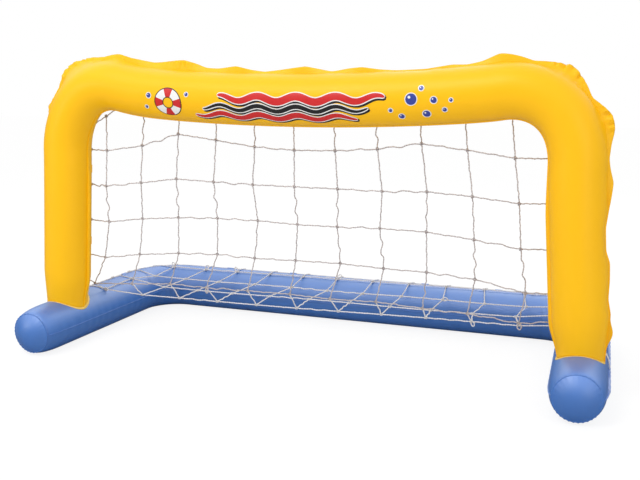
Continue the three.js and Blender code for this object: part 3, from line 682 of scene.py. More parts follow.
@dataclass(frozen=True)
class Weld:
    """How two half tubes of film are welded along their flanges."""

    gap: float = 0.06
    flange_steps: int = 6
    arc_steps: int = 40

    def section(
        self, side: int, radius: Array, seam: Array, outer_flange: Array, lean: Array, inner_flange: Array
    ) -> Array:
        """Half a tube's section at each station, from the tip of the outer flange to that of the inner one.

        Args:
            side: The sign of the third direction that this half lies on.
            radius: The radius per station and arc step.
            seam: The distance of the outer seam from the centre, per station.
            outer_flange: The outer flange's width beyond the seam, per station.
            lean: How far the outer flange leans, in radians, per station and flange step.
            inner_flange: The inner flange's width, one column with a row per station.

        Returns:
            Pairs of out and up. The arc is the radius times the angle's cosine and sine, and the flanges
            start where the film comes within its own thickness and half the gap of the middle plane.
        """
        offset = self.gap / 2 + FILM
        first = np.sqrt(seam**2 - offset**2)[:, None]
        last = np.sqrt(radius[:, -1:] ** 2 - offset**2)
        share = np.linspace(1, 0, self.flange_steps + 1)[None]
        width = share * outer_flange[:, None]
        flange = np.stack([first + width * np.cos(lean), side * offset + width * np.sin(lean)], axis=-1)
        arc = np.stack([radius * np.cos(self.angles), side * radius * np.sin(self.angles)], axis=-1)
        level = np.full_like(last, side * offset)
        root = np.stack([-last, level], axis=-1)
        tip = np.stack([-last - inner_flange, level], axis=-1)
        return np.concatenate([flange, arc, root, tip], axis=1)

    @property
    def angles(self) -> Array:
        """The angles of the arc's points from the outer seam."""
        return np.linspace(0, math.pi, self.arc_steps + 1)[1:-1]


@dataclass
class Base:
    """The blue U-shaped tube that the goal stands on, with its end caps."""

    weld: Weld = field(default_factory=Weld)
    radius: float = 59.0
    flat: float = 2.0
    leg_front_half_span: float = 651.0
    leg_rear_half_span: float = 624.0
    leg_front_reach: float = 146.0
    rear_bar_reach: float = 428.0
    corner_radius: float = 105.0
    flange: float = 5.0
    flange_wave: float = 1.2
    flange_wave_length: float = 118.0
    inner_flange: float = 1.6
    valve_reach: float = 118.0
    valve_angle: float = 0.16 * math.pi
    cap_radius: float = 48.0
    cap_dome: float = 20.0
    cap_flange: float = 2.3
    cap_scallop: float = 1.2
    cap_scallops: int = 17
    cap_gap: float = 0.25
    taper_length: float = 72.0
    taper_start_share: float = 0.012
    pucker_length: float = 31.0
    pucker_depth: float = 0.7
    pucker_reach_share: float = 0.16
    corner_pucker_depth: float = 1.3
    seam_puckers: int = 26
    seam_pucker_depth: float = 0.9
    seam_pucker_reach: float = 6.0
    inner_pucker_share: float = 0.6
    cap_gather: float = 0.5
    cap_gather_reach: float = 4.0
    cap_gather_onset: float = 9.0
    station_length: float = 4.2
    taper_rows: int = 33
    taper_crowding: float = 1.6
    cap_rings: int = 26
    cap_crowding: float = 1.25
    cap_flange_rings: int = 3
    cap_sides: int = 156

    def __post_init__(self) -> None:
        """Lays out the centre line."""
        front = np.array([-self.leg_front_half_span, -self.leg_front_reach, self.centre_height])
        rear = np.array([-self.leg_rear_half_span, self.rear_bar_reach, self.centre_height])
        bar_start = rear + ACROSS * self.corner_radius
        middle = bar_start * np.array([0.0, 1.0, 1.0])
        self.tube = Tube(front, rear, bar_start, middle, self.corner_radius, self.radius, UPWARD, -1.0)

    @property
    def centre_height(self) -> float:
        """The height of the tube's centre line over the floor."""
        return self.radius - self.flat

    @property
    def top_height(self) -> float:
        """The height of the tube's top over the floor."""
        return self.centre_height + self.radius

    def top(self, x: Any, y: Any, off: float) -> Array:
        """Heights over places of the floor of a surface so far off the tube: its round top, by Pythagoras."""
        share = self.tube.nearest_share(x, y)
        centre = self.tube.centre(share)
        outward = self.tube.outward(share)
        beside = (x - centre[..., 0]) * outward[..., 0] + (y - centre[..., 1]) * outward[..., 1]
        return self.centre_height + np.sqrt(np.maximum(0, (self.radius + off) ** 2 - beside**2))

    @property
    def valve_share(self) -> float:
        """The valve's share of the tube's length, on the left leg."""
        return (self.valve_reach + self.leg_front_reach) / self.tube.length

    def _leg_radius(self, distance: Array) -> Array:
        """The radius at a distance from the leg's end: a quarter of an ellipse from the seam to the tube."""
        share = np.clip(distance / self.taper_length - self.taper_start_share, 0, 1)
        return mix(self.cap_radius, self.radius, np.sqrt(1 - (1 - share) ** 2))

    def panel(self, side: BaseSide) -> Surface:
        """The upper or the lower film panel, from cap to cap.

        Args:
            side: Which panel.

        Returns:
            The tube's half section carried along it. The radius draws in towards the caps. It is dented by
            small puckers, which are sines along the outer seam and cosines round the caps' seams and die away
            from them, and the section is cut off flat at the floor.
        """
        tube = self.tube
        ease = np.linspace(0, 1, self.taper_rows + 1)[1:] ** self.taper_crowding * self.taper_length
        inner = np.arange(self.taper_length, tube.length - self.taper_length, self.station_length)[1:]
        distance = np.concatenate([ease, inner, (tube.length - ease)[::-1]])
        share = distance / tube.length
        to_end = np.minimum(distance, tube.length - distance)
        angles = self.weld.angles[None]
        grown = eased(to_end / self.taper_length)
        middles = [mix(*tube.piece_ends[[k, k + 1]], 0.5) for k in (1, 3)]
        bend = sum(bell(distance - middle, self.corner_radius) for middle in middles)
        phase = distance / self.pucker_length
        ripple = 0.5 + 0.5 * np.sin(TURN * phase + np.sin(phase))
        depth = (self.pucker_depth + self.corner_pucker_depth * bend) * grown * ripple
        seam = np.pi * self.pucker_reach_share
        dent = depth[:, None] * (bell(angles, seam) + self.inner_pucker_share * bell(math.pi - angles, seam))
        gathered = 0.5 + 0.5 * np.cos(self.seam_puckers * angles)
        dent = dent + self.seam_pucker_depth * gathered * np.exp(-to_end[:, None] / self.seam_pucker_reach)
        radius = self._leg_radius(to_end)[:, None] - dent
        lean = grown * np.sin(TURN * distance / self.flange_wave_length) * self.flange_wave / self.flange
        width = mix(self.inner_flange, self.flange, grown)
        inner_width = np.full(len(distance), self.inner_flange)[:, None]
        section = self.weld.section(side.value, radius, radius[:, 0], width, lean[:, None], inner_width)
        rim_radius = np.full((1, angles.size), self.cap_radius + self.cap_flange)
        rim_width = np.full((1, 1), self.inner_flange)
        level = np.zeros((1, 1))
        rim = self.weld.section(side.value, rim_radius, rim_radius[:, 0], rim_width[0], level, rim_width)
        section = np.concatenate([rim, section, rim])
        section[..., 1] = np.maximum(section[..., 1], -self.centre_height)
        return tube.swept(np.concatenate([[0.0], share, [1.0]]), section)

    def cap(self, end: End) -> Surface:
        """A leg's end cap.

        Args:
            end: Which leg.

        Returns:
            A dome: the radius falls evenly from the seam's to none, and the height is the dome's times one
            less the square of the radius' share. Its rim is scalloped, and gathers run in from the seam.
        """
        around = np.arange(self.cap_sides) * TURN / self.cap_sides
        inward = np.linspace(0, 1, self.cap_rings + 1)[:, None] ** self.cap_crowding
        gathered = 0.5 + 0.5 * np.cos(self.seam_puckers * around)
        gather = self.cap_gather * gathered * np.exp(-inward * self.cap_radius / self.cap_gather_reach)
        radius = self.cap_radius * (1 - inward) - gather * (1 - inward)
        dome = self.cap_dome * (1 - (1 - inward) ** 2)
        height = dome - gather * np.minimum(1, self.cap_gather_onset * inward)
        spread = np.stack([np.broadcast_to(radius, gather.shape), height], axis=-1)
        out_share = np.linspace(1, 0, self.cap_flange_rings + 1)[:-1, None]
        scallop = self.cap_scallop * np.cos(self.cap_scallops * 2 * around) * out_share
        rim_radius = self.cap_radius + self.cap_flange * out_share + scallop
        rim = np.stack([rim_radius, np.zeros_like(rim_radius)], axis=-1)
        rings = np.concatenate([rim, spread[:-1]])
        directions = np.stack([np.cos(around), np.sin(around)], axis=1)
        local = np.concatenate([directions[None] * rings[..., :1], rings[..., 1:]], axis=-1)
        surface = Surface.grid(local, wrap=True).capped(self.cap_sides, None, np.array([0, 0, self.cap_dome]))
        share = 0.0 if end is End.LEFT else 1.0
        forward = self.tube.along(share) * end.value
        axes = np.stack([self.tube.outward(share), UPWARD, forward])
        origin = self.tube.centre(share) + forward * self.cap_gap
        return surface.placed(origin, axes).facing(forward)

    def build(self, shop: Workshop, blue: Material) -> None:
        """Makes the two panels and the two caps."""
        for side in BaseSide:
            shop.film(f"base_{side.name.lower()}_panel", self.panel(side), blue, Slot.BLUE)
        for end in End:
            shop.film(f"{end.name.lower()}_end_cap", self.cap(end), blue, Slot.BLUE)


@dataclass(frozen=True)
class Bulge:
    """Where air pushes a bend of the arch outwards, how far along it, and how much spare film it fills."""

    place_share: float
    reach: float
    film_share: float


@dataclass
class Arch:
    """The yellow tube over the mouth, which stands on the base's legs."""

    base: Base
    weld: Weld = field(default_factory=Weld)
    radius: float = 58.0
    crossbar_height: float = 648.0
    crossbar_sag: float = 20.0
    top_half_span: float = 607.0
    corner_radius: float = 150.0
    foot_height: float = 74.0
    valve_height: float = 330.0
    valve_angle: float = 0.5 * math.pi
    foot_half_width: float = 48.0
    foot_half_length: float = 57.0
    foot_rim: float = 3.2
    foot_seat: float = 0.5
    flange_widest: float = 43.0
    inner_flange: float = 3.0
    post_inner_flange: float = 7.5
    inner_flange_growth: float = 110.0
    slim_flange: float = 3.0
    slim_reach: float = 0.4
    left_foot_flange: float = 5.0
    right_foot_flange: float = 8.0
    ruffle_length: float = 152.0
    ruffle_lean: float = 0.2
    rear_lean: float = 0.35
    crease_length: float = 11.0
    crease_lean: float = 0.75
    crease_depth: float = 1.7
    crease_reach_share: float = 0.12
    crease_from_share: float = 0.3125
    crease_full_share: float = 0.9375
    crease_wander: float = 1.3
    crease_wander_pace: float = 1.7
    crease_long_share: float = 0.38
    crease_long_factor: float = 2.7
    crease_flat_share: float = 0.45
    weld_width: float = 8.0
    rim_crease: float = 0.04
    bulge_height: float = 14.5
    bulges: tuple[Bulge, Bulge] = (Bulge(0.235, 95.0, 0.8), Bulge(0.787, 86.0, 0.3))
    film_fade: float = 1.6
    seam_pucker_length: float = 24.0
    seam_pucker_depth: float = 0.3
    flange_softening: float = 5.0
    flange_samples: int = 17
    station_length: float = 3.4
    foot_rows: int = 22
    foot_flange_pace: float = 1.5
    foot_flange_delay: float = 0.4
    foot_inner_share: float = 0.1
    foot_inner_pace: float = 1.3
    patch_sides: int = 96
    patch_rings: int = 15
    # Pairs of a share of the arch's length from the left foot and one of the outer flange's greatest width
    flange_shares: tuple[Pair, ...] = (
        (0, 0.08), (0.08, 0.09), (0.15, 0.17), (0.166, 0.24), (0.177, 0.36), (0.188, 0.63), (0.199, 0.51),
        (0.207, 0.53), (0.214, 0.72), (0.221, 1), (0.231, 1), (0.246, 0.74), (0.258, 0.52), (0.27, 0.63),
        (0.286, 0.47), (0.302, 0.4), (0.318, 0.35), (0.336, 0.45), (0.358, 0.56), (0.374, 0.41),
        (0.388, 0.22), (0.404, 0.21), (0.426, 0.35), (0.446, 0.17), (0.462, 0.09), (0.478, 0.19),
        (0.512, 0.37), (0.53, 0.22), (0.543, 0.1), (0.562, 0.23), (0.578, 0.27), (0.598, 0.12),
        (0.616, 0.04), (0.65, 0.02), (0.678, 0.15), (0.694, 0.1), (0.71, 0.21), (0.728, 0.49),
        (0.738, 0.4), (0.75, 0.28), (0.76, 0.53), (0.773, 0.93), (0.784, 0.72), (0.797, 0.41),
        (0.807, 0.65), (0.814, 0.8), (0.823, 0.67), (0.832, 0.33), (0.842, 0.13), (0.85, 0.18),
        (0.864, 0.31), (0.878, 0.2), (0.894, 0.05), (0.91, -0.08), (0.934, -0.08), (0.946, 0.08),
        (0.964, 0.06), (0.984, -0.02), (1, 0.08),
    )

    def __post_init__(self) -> None:
        """Lays out the centre line."""
        foot = np.array([-self.foot_half_span, 0.0, self.base.top_height])
        top = np.array([-self.top_half_span, 0.0, self.crossbar_height])
        bar_start = np.array([self.corner_radius - self.top_half_span, 0.0, self.crossbar_height])
        sagged = np.array([0.0, 0.0, self.crossbar_height - 2 * self.crossbar_sag])
        start = foot + unit(top - foot) * self.foot_height
        self.tube = Tube(start, top, bar_start, sagged, self.corner_radius, self.radius, BACKWARD, 1.0)

    @property
    def foot_half_span(self) -> float:
        """Half the distance between the feet: that of the legs where they pass under the arch."""
        base = self.base
        share = base.leg_front_reach / (base.leg_front_reach + base.rear_bar_reach)
        return mix(base.leg_front_half_span, base.leg_rear_half_span, share)

    @property
    def valve_share(self) -> float:
        """The valve's share of the tube's length, on the right post."""
        return 1 - (self.valve_height - self.base.top_height - self.foot_height) / self.tube.length

    def _flange_width(self, distance: Array) -> Array:
        """The outer flange's width: the table's straight lines, softened by a bell-shaped mean."""
        places, shares = np.array(self.flange_shares).T
        shifts = np.linspace(-2, 2, self.flange_samples) * self.flange_softening
        weights = bell(shifts, self.flange_softening)
        values = np.interp((distance[:, None] + shifts) / self.tube.length, places, shares)
        return values @ weights / weights.sum() * self.flange_widest

    def bulge(self, share: Array) -> Array:
        """How far the tube stands outwards from its centre line: a bell round each bend."""
        bells = [bell((share - b.place_share) * self.tube.length, b.reach) for b in self.bulges]
        return self.bulge_height * np.sum(bells, axis=0)

    def _filled(self, share: Array) -> Array:
        """The share of the spare film that the air fills: a wider bell round each bend."""
        off = [(share - b.place_share) * self.tube.length for b in self.bulges]
        bells = [b.film_share * bell(way, b.reach * self.film_fade) for b, way in zip(self.bulges, off)]
        return np.sum(bells, axis=0)

    def _foot_rows(self, end: End, section: Array) -> Array:
        """The rows between a foot's rim and the tube's end.

        Args:
            end: Which foot.
            section: The section's pairs at the tube's end.

        Returns:
            Rows of points: the rim is the section squeezed to the foot's oval and dropped on the leg's round
            top, and the rows ease from it to the tube sideways while they rise evenly. Between them the outer
            flange stands out as a sine, and the inner one grows from almost nothing.
        """
        out, up = section.T
        x = end.value * (self.foot_half_span + out * self.foot_half_width / self.radius)
        y = up * self.foot_half_length / self.radius
        rim = np.stack([x, y, self.base.top(x, y, self.foot_seat + FILM)], axis=1)
        share = 0.0 if end is End.LEFT else 1.0
        top = self.tube.centre(share) + self.tube.outward(share) * out[:, None] + BACKWARD * up[:, None]
        rise = (np.arange(self.foot_rows) / self.foot_rows)[:, None, None]
        level = mix(rim[None, :, :2], top[None, :, :2], eased(rise))
        spare = self.left_foot_flange if end is End.LEFT else self.right_foot_flange
        flange_share = np.maximum(0, 1 - np.arange(len(section)) / self.weld.flange_steps)
        swing = np.sin(math.pi * eased(rise[..., 0] * self.foot_flange_pace - self.foot_flange_delay))
        level[..., 0] += end.value * spare * flange_share * swing
        grown = mix(self.foot_inner_share, 1, eased(rise[:, 0] * self.foot_inner_pace))
        level[:, -1] = mix(level[:, -2], level[:, -1], grown)
        return np.concatenate([level, mix(rim[None, :, 2:], top[None, :, 2:], rise)], axis=-1)

    def panel(self, side: ArchSide) -> Surface:
        """The front or the back film panel, from foot to foot.

        Args:
            side: Which panel.

        Returns:
            The tube's half section carried along it, with a foot at each end. In the bends the air pushes the
            section outwards and the outer seam further, and the film runs straight to that from the round
            tube, which it touches where the radius over the seam's distance is the angle's cosine. Where the
            flange is slimmest, the seam is drawn in, with a hollow beside it. The outer flange leans back,
            more and less by a slow sine. Where it is wide, two fast sines crease it and dent the tube.
        """
        tube = self.tube
        count = int(tube.length / self.station_length)
        share = np.linspace(0, 1, count)
        distance = share * tube.length
        angles = self.weld.angles[None]
        width = self._flange_width(distance)
        span = self.crease_full_share - self.crease_from_share
        wide = eased((width / self.flange_widest - self.crease_from_share) / span)
        clear = eased(np.minimum(distance, tube.length - distance) / self.foot_height)
        phase = distance / self.crease_length
        short = np.sin(TURN * phase + self.crease_wander * np.sin(self.crease_wander_pace * phase))
        crease = mix(short, np.sin(TURN * phase / self.crease_long_factor), self.crease_long_share)
        slow = (self.rear_lean + self.ruffle_lean * np.sin(TURN * distance / self.ruffle_length)) * clear
        fast = self.crease_lean * crease * wide
        out_share = np.linspace(1, 0, self.weld.flange_steps + 1)[None]
        lean = slow[:, None] + fast[:, None] * (1 - self.crease_flat_share * out_share)
        pucker = 0.5 + 0.5 * np.sin(TURN * distance / self.seam_pucker_length)
        depth = self.crease_depth * wide * (0.5 + 0.5 * crease) + self.seam_pucker_depth * pucker * clear
        dent = depth[:, None] * bell(angles, np.pi * self.crease_reach_share)
        drawn = np.minimum(0, width - self.slim_flange)
        bulge = self.bulge(share)
        seam = self.radius + self._filled(share) * np.maximum(0, width - bulge - self.weld_width)
        touch = np.arccos(self.radius / seam)[:, None]
        seam = seam + drawn
        radius = self.radius / np.cos(np.maximum(0, touch - angles)) - dent
        radius = radius + drawn[:, None] * bell(angles, self.slim_reach)
        rest = self.radius + width * (1 + self.rim_crease * crease * wide) - bulge - seam
        into_post = np.maximum(tube.piece_ends[1] - distance, distance - tube.piece_ends[4])
        on_post = eased(into_post / self.inner_flange_growth)[:, None]
        inner_width = mix(self.inner_flange, self.post_inner_flange, on_post)
        section = self.weld.section(side.value, radius, seam, rest, lean, inner_width)
        section[..., 0] += bulge[:, None]
        body = tube.swept(share, section)
        points = body.points.reshape(*section.shape[:2], 3)
        left = self._foot_rows(End.LEFT, section[0])
        right = self._foot_rows(End.RIGHT, section[-1])[::-1]
        rows = np.concatenate([left, points, right])
        centre = np.concatenate([left.mean(axis=1), tube.centre(share), right.mean(axis=1)])
        centre[:, 1] = 0
        return Surface.grid(rows).facing((rows - centre[:, None]).reshape(-1, 3))

    def foot_patch(self, end: End) -> Surface:
        """The disc that closes a post below: an oval on the leg's round top, a little wider than the foot.

        Args:
            end: Which foot.

        Returns:
            Rings whose x and y are shares of the oval's half axes times the cosine and sine, round a pole.
        """
        around = np.arange(self.patch_sides) * TURN / self.patch_sides
        share = np.linspace(1, 0, self.patch_rings + 1)[:-1, None]
        middle = end.value * self.foot_half_span
        x = middle + (self.foot_half_width + self.foot_rim) * share * np.cos(around)
        y = (self.foot_half_length + self.foot_rim) * share * np.sin(around)
        rings = np.stack([x, y, self.base.top(x, y, self.foot_seat)], axis=-1)
        pole = np.array([middle, 0.0, self.base.top(middle, 0.0, self.foot_seat)])
        return Surface.grid(rings, wrap=True).capped(self.patch_sides, None, pole).facing(UPWARD)

    def build(self, shop: Workshop, yellow: Material, pale: Material) -> None:
        """Makes the two panels and the two foot patches, whose paler yellow is a painted highlight along their
        rims below the feet.
        """
        for side in ArchSide:
            shop.film(f"arch_{side.name.lower()}_panel", self.panel(side), yellow, Slot.YELLOW)
        for end in End:
            shop.film(f"{end.name.lower()}_foot_patch", self.foot_patch(end), pale, Slot.YELLOW)


@dataclass(frozen=True)
class Cord:
    """A laid cord: strands twisted round each other, drawn as one skin with a lobe for each strand."""

    radius: float
    strands: int
    lay: float
    step: float
    sides: int
    groove_share: float = 0.36

    def along(self, path: Array, beside: Array | None = None, loop: bool = False) -> Surface:
        """The cord along a path.

        Args:
            path: The points that it follows.
            beside: A direction that is never along the path, or one per point.
            loop: Whether the path's end joins its start.

        Returns:
            The skin: its corners turn once round the path for each length of lay, and lie deeper between two
            strands.
        """
        if beside is None:
            beside = least_axis(path[-1] - path[0])
        if loop:
            tangent = unit(np.roll(path, -1, axis=0) - np.roll(path, 1, axis=0))
        else:
            path = resampled(path, self.step)
            tangent = unit(np.gradient(path, axis=0))
        normal = unit(np.cross(tangent, beside))
        binormal = np.cross(tangent, normal)
        distance = lengths_along(path)
        turns = distance / self.lay
        if loop:
            full = distance[-1] + np.linalg.norm(path[0] - path[-1])
            turns = distance / full * round(full / self.lay)
        corner = np.arange(self.sides) / self.sides
        lobe = np.abs(np.cos(math.pi * self.strands * corner))
        reach = self.radius * (1 - self.groove_share * (1 - lobe))
        angle = TURN * (corner[None] + turns[:, None])
        spread = normal[:, None] * np.cos(angle)[..., None] + binormal[:, None] * np.sin(angle)[..., None]
        rings = path[:, None] + spread * reach[:, None]
        uv = np.stack(np.broadcast_arrays(distance[:, None], corner[None] / MILLIMETRE), axis=-1)
        surface = Surface.grid(rings, wrap=True, loop=loop, uv=uv)
        if not loop:
            surface = surface.capped(self.sides, path[0], path[-1])
        return surface.closed_outwards()


@dataclass
class BorderRope:
    """The rope round the net, behind the arch and outside the base, with the patches that hold it."""

    arch: Arch
    base: Base
    cord: Cord = Cord(radius=2.2, strands=3, lay=15.0, step=2.5, sides=9)
    seat: float = 0.6
    arch_angle: float = 0.69 * math.pi
    base_angle: float = 0.33 * math.pi
    corner_reach: float = 14.0
    slant: Point = (0.31, 0.62, 0.23)
    other_slant: Point = (0.5, -0.4, 0.3)
    slant_cosine: float = 0.9
    patch_width: float = 20.0
    patch_wing: float = 11.0
    patch_fold: float = 1.2
    patch_gap: float = 0.5
    patch_seat: float = 0.5
    patch_lead: float = 4.0
    patch_corner_share: float = 0.3
    patch_narrowing: float = 3.5
    patch_steps: tuple[int, int, int] = (12, 18, 15)
    # The length of tube, counted from the left end, and the share of it at which each patch sits
    arch_patches: Places = (
        (0, 0.23), (0, 0.84), (2, 0.11), (2, 0.34), (2, 0.66), (2, 0.89), (4, 0.16), (4, 0.77),
    )
    base_patches: Places = (
        (0, 0.507), (0, 0.925), (2, 0.116), (2, 0.311), (2, 0.689), (2, 0.884), (4, 0.075), (4, 0.493),
    )

    def __post_init__(self) -> None:
        """Lays the rope's closed route."""
        shares, arch_run = self._run(self.arch.tube, self.arch_patches, self.arch_angle)
        arch_run = arch_run + self.arch.tube.outward(shares) * self.arch.bulge(shares)[:, None]
        base_run = self._run(self.base.tube, self.base_patches, self.base_angle)[1][::-1]
        start = int(len(arch_run) / 2)
        loop = np.vstack([arch_run[start:], base_run, arch_run[:start], arch_run[start : start + 1]])
        self.route = rounded(loop, self.cord.step, self.corner_reach)[:-1]

    @property
    def off(self) -> float:
        """The distance of the rope's centre from the tubes' surfaces."""
        return self.cord.radius + self.seat

    def _run(self, tube: Tube, patches: Places, angle: float) -> tuple[Array, Array]:
        """The rope's shares of the length and points beside a tube, from the first patch to the last."""
        half = (self.patch_width / 2 + self.patch_lead) / tube.length
        first, last = (tube.share_in(*patches[k]) for k in (0, -1))
        shares = np.arange(first - half, last + half, self.cord.step / tube.length)
        return shares, tube.spot(shares, np.full(len(shares), angle), self.off)

    def rope(self) -> Surface:
        """The rope: its strands turn from a slanting direction, or another where it runs along that."""
        slant = np.array(self.slant)
        tangent = unit(np.roll(self.route, -1, axis=0) - np.roll(self.route, 1, axis=0))
        near = np.abs(tangent @ unit(slant)) > self.slant_cosine
        beside = np.where(near[:, None], self.other_slant, slant)
        return self.cord.along(self.route, beside, loop=True)

    def patch(self, tube: Tube, angle: float, place: tuple[int, float]) -> Surface:
        """A film patch over the rope.

        Args:
            tube: The tube that it is welded to.
            angle: The rope's angle there.
            place: The length of tube and the share of it.

        Returns:
            A strip across the rope: two wings that lie on the tube's round surface and a tunnel of half a
            circle between them, with a hollow where they meet. The wings narrow to rounded ends.
        """
        share = tube.share_in(*place)
        along = tube.along(share)
        normal = tube.normal(share, angle)
        sideways = np.cross(normal, along)
        tunnel = self.cord.radius + self.patch_gap
        seat = tube.radius + self.patch_seat
        wing_steps, crest_steps, width_steps = self.patch_steps
        turn = (tunnel + np.linspace(self.patch_wing, self.patch_fold, wing_steps)) / tube.radius
        wing = np.stack([-seat * np.sin(turn), seat * np.cos(turn)], axis=1)
        crest_turn = np.linspace(0, math.pi, crest_steps)
        crest_top = tube.radius + self.off
        crest = np.stack([-tunnel * np.cos(crest_turn), crest_top + tunnel * np.sin(crest_turn)], axis=1)
        profile = np.vstack([wing, crest, (wing * [-1, 1])[::-1]])
        reach = np.abs(profile[:, 0])
        past = np.maximum(0, (reach / reach.max() - 1) / self.patch_corner_share + 1)
        narrowed = self.patch_width / 2 - self.patch_narrowing * past**2
        spread = np.linspace(-1, 1, width_steps)[:, None] * narrowed[None]
        across = normal * profile[None, :, 1:] + sideways * profile[None, :, :1]
        return Surface.grid(tube.centre(share) + across + along * spread[..., None]).facing(normal)

    def build(
        self, shop: Workshop, cord: Material, yellow: Material, blue: Material,
    ) -> None:
        """Makes the rope and its sixteen patches."""
        shop.piece("border_rope_cord", self.rope(), cord, Slot.CORD, ("border_rope",))
        arch = ("arch", self.arch.tube, self.arch_angle, self.arch_patches, yellow, Slot.YELLOW)
        base = ("base", self.base.tube, self.base_angle, self.base_patches, blue, Slot.BLUE)
        for name, tube, angle, places, material, slot in (arch, base):
            for number, place in enumerate(places, start=1):
                shop.film(f"{name}_rope_patch_{number}", self.patch(tube, angle, place), material, slot)


@dataclass(frozen=True)
class BackRow:
    """A row of the upright net, as shares of the goal's sizes and of the net's pitch and hitch."""

    reach_share: float
    height_share: float
    hitch_share: float
    droop_share: float
    shift_shares: Pair


@dataclass(frozen=True)
class FloorRow:
    """A row of the net over the base, as shares of the goal's sizes and of the net's pitch."""

    reach_shares: Pair
    height_share: float
    shift_shares: Pair


@dataclass
class Net:
    """The knotted net, tied to the border rope."""

    arch: Arch
    base: Base
    rope: BorderRope
    columns: int = 11
    pitch: float = 102.0
    hitch: float = 27.0
    unevenness: float = 4.0
    uneven_turn: float = 12.9898
    knot_clearance: float = 3.6
    cord: Cord = Cord(radius=1.7, strands=2, lay=13.0, step=2.1, sides=8)
    knot_cord: Cord = Cord(radius=1.3, strands=2, lay=13.0, step=2.1, sides=4, groove_share=0.0)
    crease: float = 75.0
    twine_samples: int = 48
    wobble: float = 1.5
    wobble_span: Pair = (0.25, 1.75)
    wobble_paces: Pair = (1.9, 2.7)
    kink: float = 0.9
    kink_length: float = 23.0
    kink_pace: float = 1.3
    burst_pace: float = 0.37
    kink_onset: float = 6.0
    row_key: int = 31
    column_keys: tuple[int, int] = (17, 5)
    post_key: int = 7
    floor_slack_share: float = 0.35
    drape_off: float = 2.1
    drape_start_angle: float = 0.55 * math.pi
    drape_steps: int = 7
    drape_bend_reach: float = 9.0
    tie_turn_share: float = 0.1
    tie_depth_share: float = 0.6
    lashing_turns: float = 2.5
    lashing_samples: int = 34
    lashing_depth_share: float = 0.7
    knot_radius: float = 2.5
    knot_wave_share: float = 0.62
    knot_samples: int = 16
    knot_slant: Point = (0.21, 0.38, 0.9)
    corner_twine_drop: float = 62.0
    corner_twine_reach: float = 148.0
    corner_knot_share: float = 0.3
    top_tie_shift: float = -15.0
    hanging_reach: float = 208.0
    hanging_turn: float = 1.1
    hanging_width_half: float = 5.5
    hanging_samples: int = 40
    loop_length: float = 15.0
    loop_width_share: float = 0.32
    loop_lean_share: float = 0.2
    loop_samples: int = 26
    rear_setback_shares: Pair = (0.44, 0.07)
    rear_shift_shares: Pair = (-0.44, -0.41)
    hitch_shares: tuple[float, ...] = (-0.22, 0, 1, 0.56, 0.11, -0.07, -0.04, 0.15, 0.7, 0.44, 0.3)
    back_rows: tuple[BackRow, ...] = (
        BackRow(0.028, 0.823, 1, 0.14, (-0.04, -0.15)),
        BackRow(0.042, 0.68, 0.4, 0.18, (-0.16, -0.05)),
        BackRow(0.068, 0.54, 0.1, 0.25, (-0.18, -0.04)),
        BackRow(0.105, 0.393, 0, 0.31, (-0.42, 0.06)),
        BackRow(0.178, 0.244, 0, 0.18, (-0.96, -0.08)),
    )
    floor_rows: tuple[FloorRow, ...] = (
        FloorRow((0.262, 0.388), 0.889, (-0.98, -0.14)),
        FloorRow((0.556, 0.612), 0.829, (-0.96, -0.35)),
        FloorRow((0.743, 0.794), 0.897, (-0.65, -0.25)),
    )
    # Rows and columns of the knots that have a loose loop, and the way that it hangs
    loose_loops: tuple[tuple[int, int, Point], ...] = (
        (4, 10, (0.25, -0.2, -0.9)),
        (5, 0, (0.8, -0.6, 0.25)),
        (4, 3, (0.4, -0.5, -0.7)),
        (5, 9, (0.5, -0.6, -0.4)),
        (8, 0, (-0.6, 0.2, 0.7)),
        (8, 1, (0.5, 0.1, 0.8)),
        (8, 2, (-0.5, 0.1, 0.8)),
        (8, 5, (0.6, 0.1, 0.7)),
        (7, 8, (0.7, -0.3, 0.3)),
    )

    def __post_init__(self) -> None:
        """Places the knots."""
        column = np.arange(self.columns)
        rows = [self._back_row(i, column, row) for i, row in enumerate(self.back_rows)]
        rows += [self._floor_row(i, column, row) for i, row in enumerate(self.floor_rows)]
        rows.append(self._rear_row(column))
        self.knots = np.stack(rows)

    def _uneven(self, first: Any, second: Any) -> Any:
        """A small steady unevenness: a sine of a large multiple of the two numbers."""
        return self.unevenness * np.sin(self.uneven_turn * (first + 1) * (second + 2))

    def _across(self, column: Array, shifts: Pair) -> Array:
        """The columns' places across the goal."""
        share = column / (self.columns - 1)
        return self.pitch * ((share - 0.5) * (self.columns - 1) + mix(*shifts, share))

    def _back_row(self, i: int, column: Array, row: BackRow) -> Array:
        """A row's knots behind the mouth, hitched up by column and drooping towards the posts."""
        share = column / (self.columns - 1)
        droop = row.droop_share * self.pitch * (2 * share - 1) ** 4
        height = row.height_share * (self.arch.crossbar_height - self.arch.crossbar_sag)
        hitch = row.hitch_share * np.array(self.hitch_shares) * self.hitch
        x = self._across(column, row.shift_shares) + self._uneven(i, column)
        y = np.full(self.columns, row.reach_share * self.base.rear_bar_reach)
        return np.stack([x, y, height + hitch - droop + self._uneven(column, i) / 2], axis=1)

    def _floor_row(self, i: int, column: Array, row: FloorRow) -> Array:
        """A row's knots over the base, at their height or on the tube's top where that is higher."""
        share = column / (self.columns - 1)
        x = self._across(column, row.shift_shares) + self._uneven(i, column)
        y = mix(*row.reach_shares, share) * self.base.rear_bar_reach + self._uneven(column, i)
        height = np.maximum(row.height_share * self.base.top_height, self.base.top(x, y, self.knot_clearance))
        return np.stack([x, y, height], axis=1)

    def _rear_row(self, column: Array) -> Array:
        """The last row's knots, on top of the rear bar."""
        share = column / (self.columns - 1)
        x = self._across(column, self.rear_shift_shares)
        y = self.base.rear_bar_reach - mix(*self.rear_setback_shares, share) * self.base.radius
        return np.stack([x, y, self.base.top(x, y, self.knot_clearance)], axis=1)

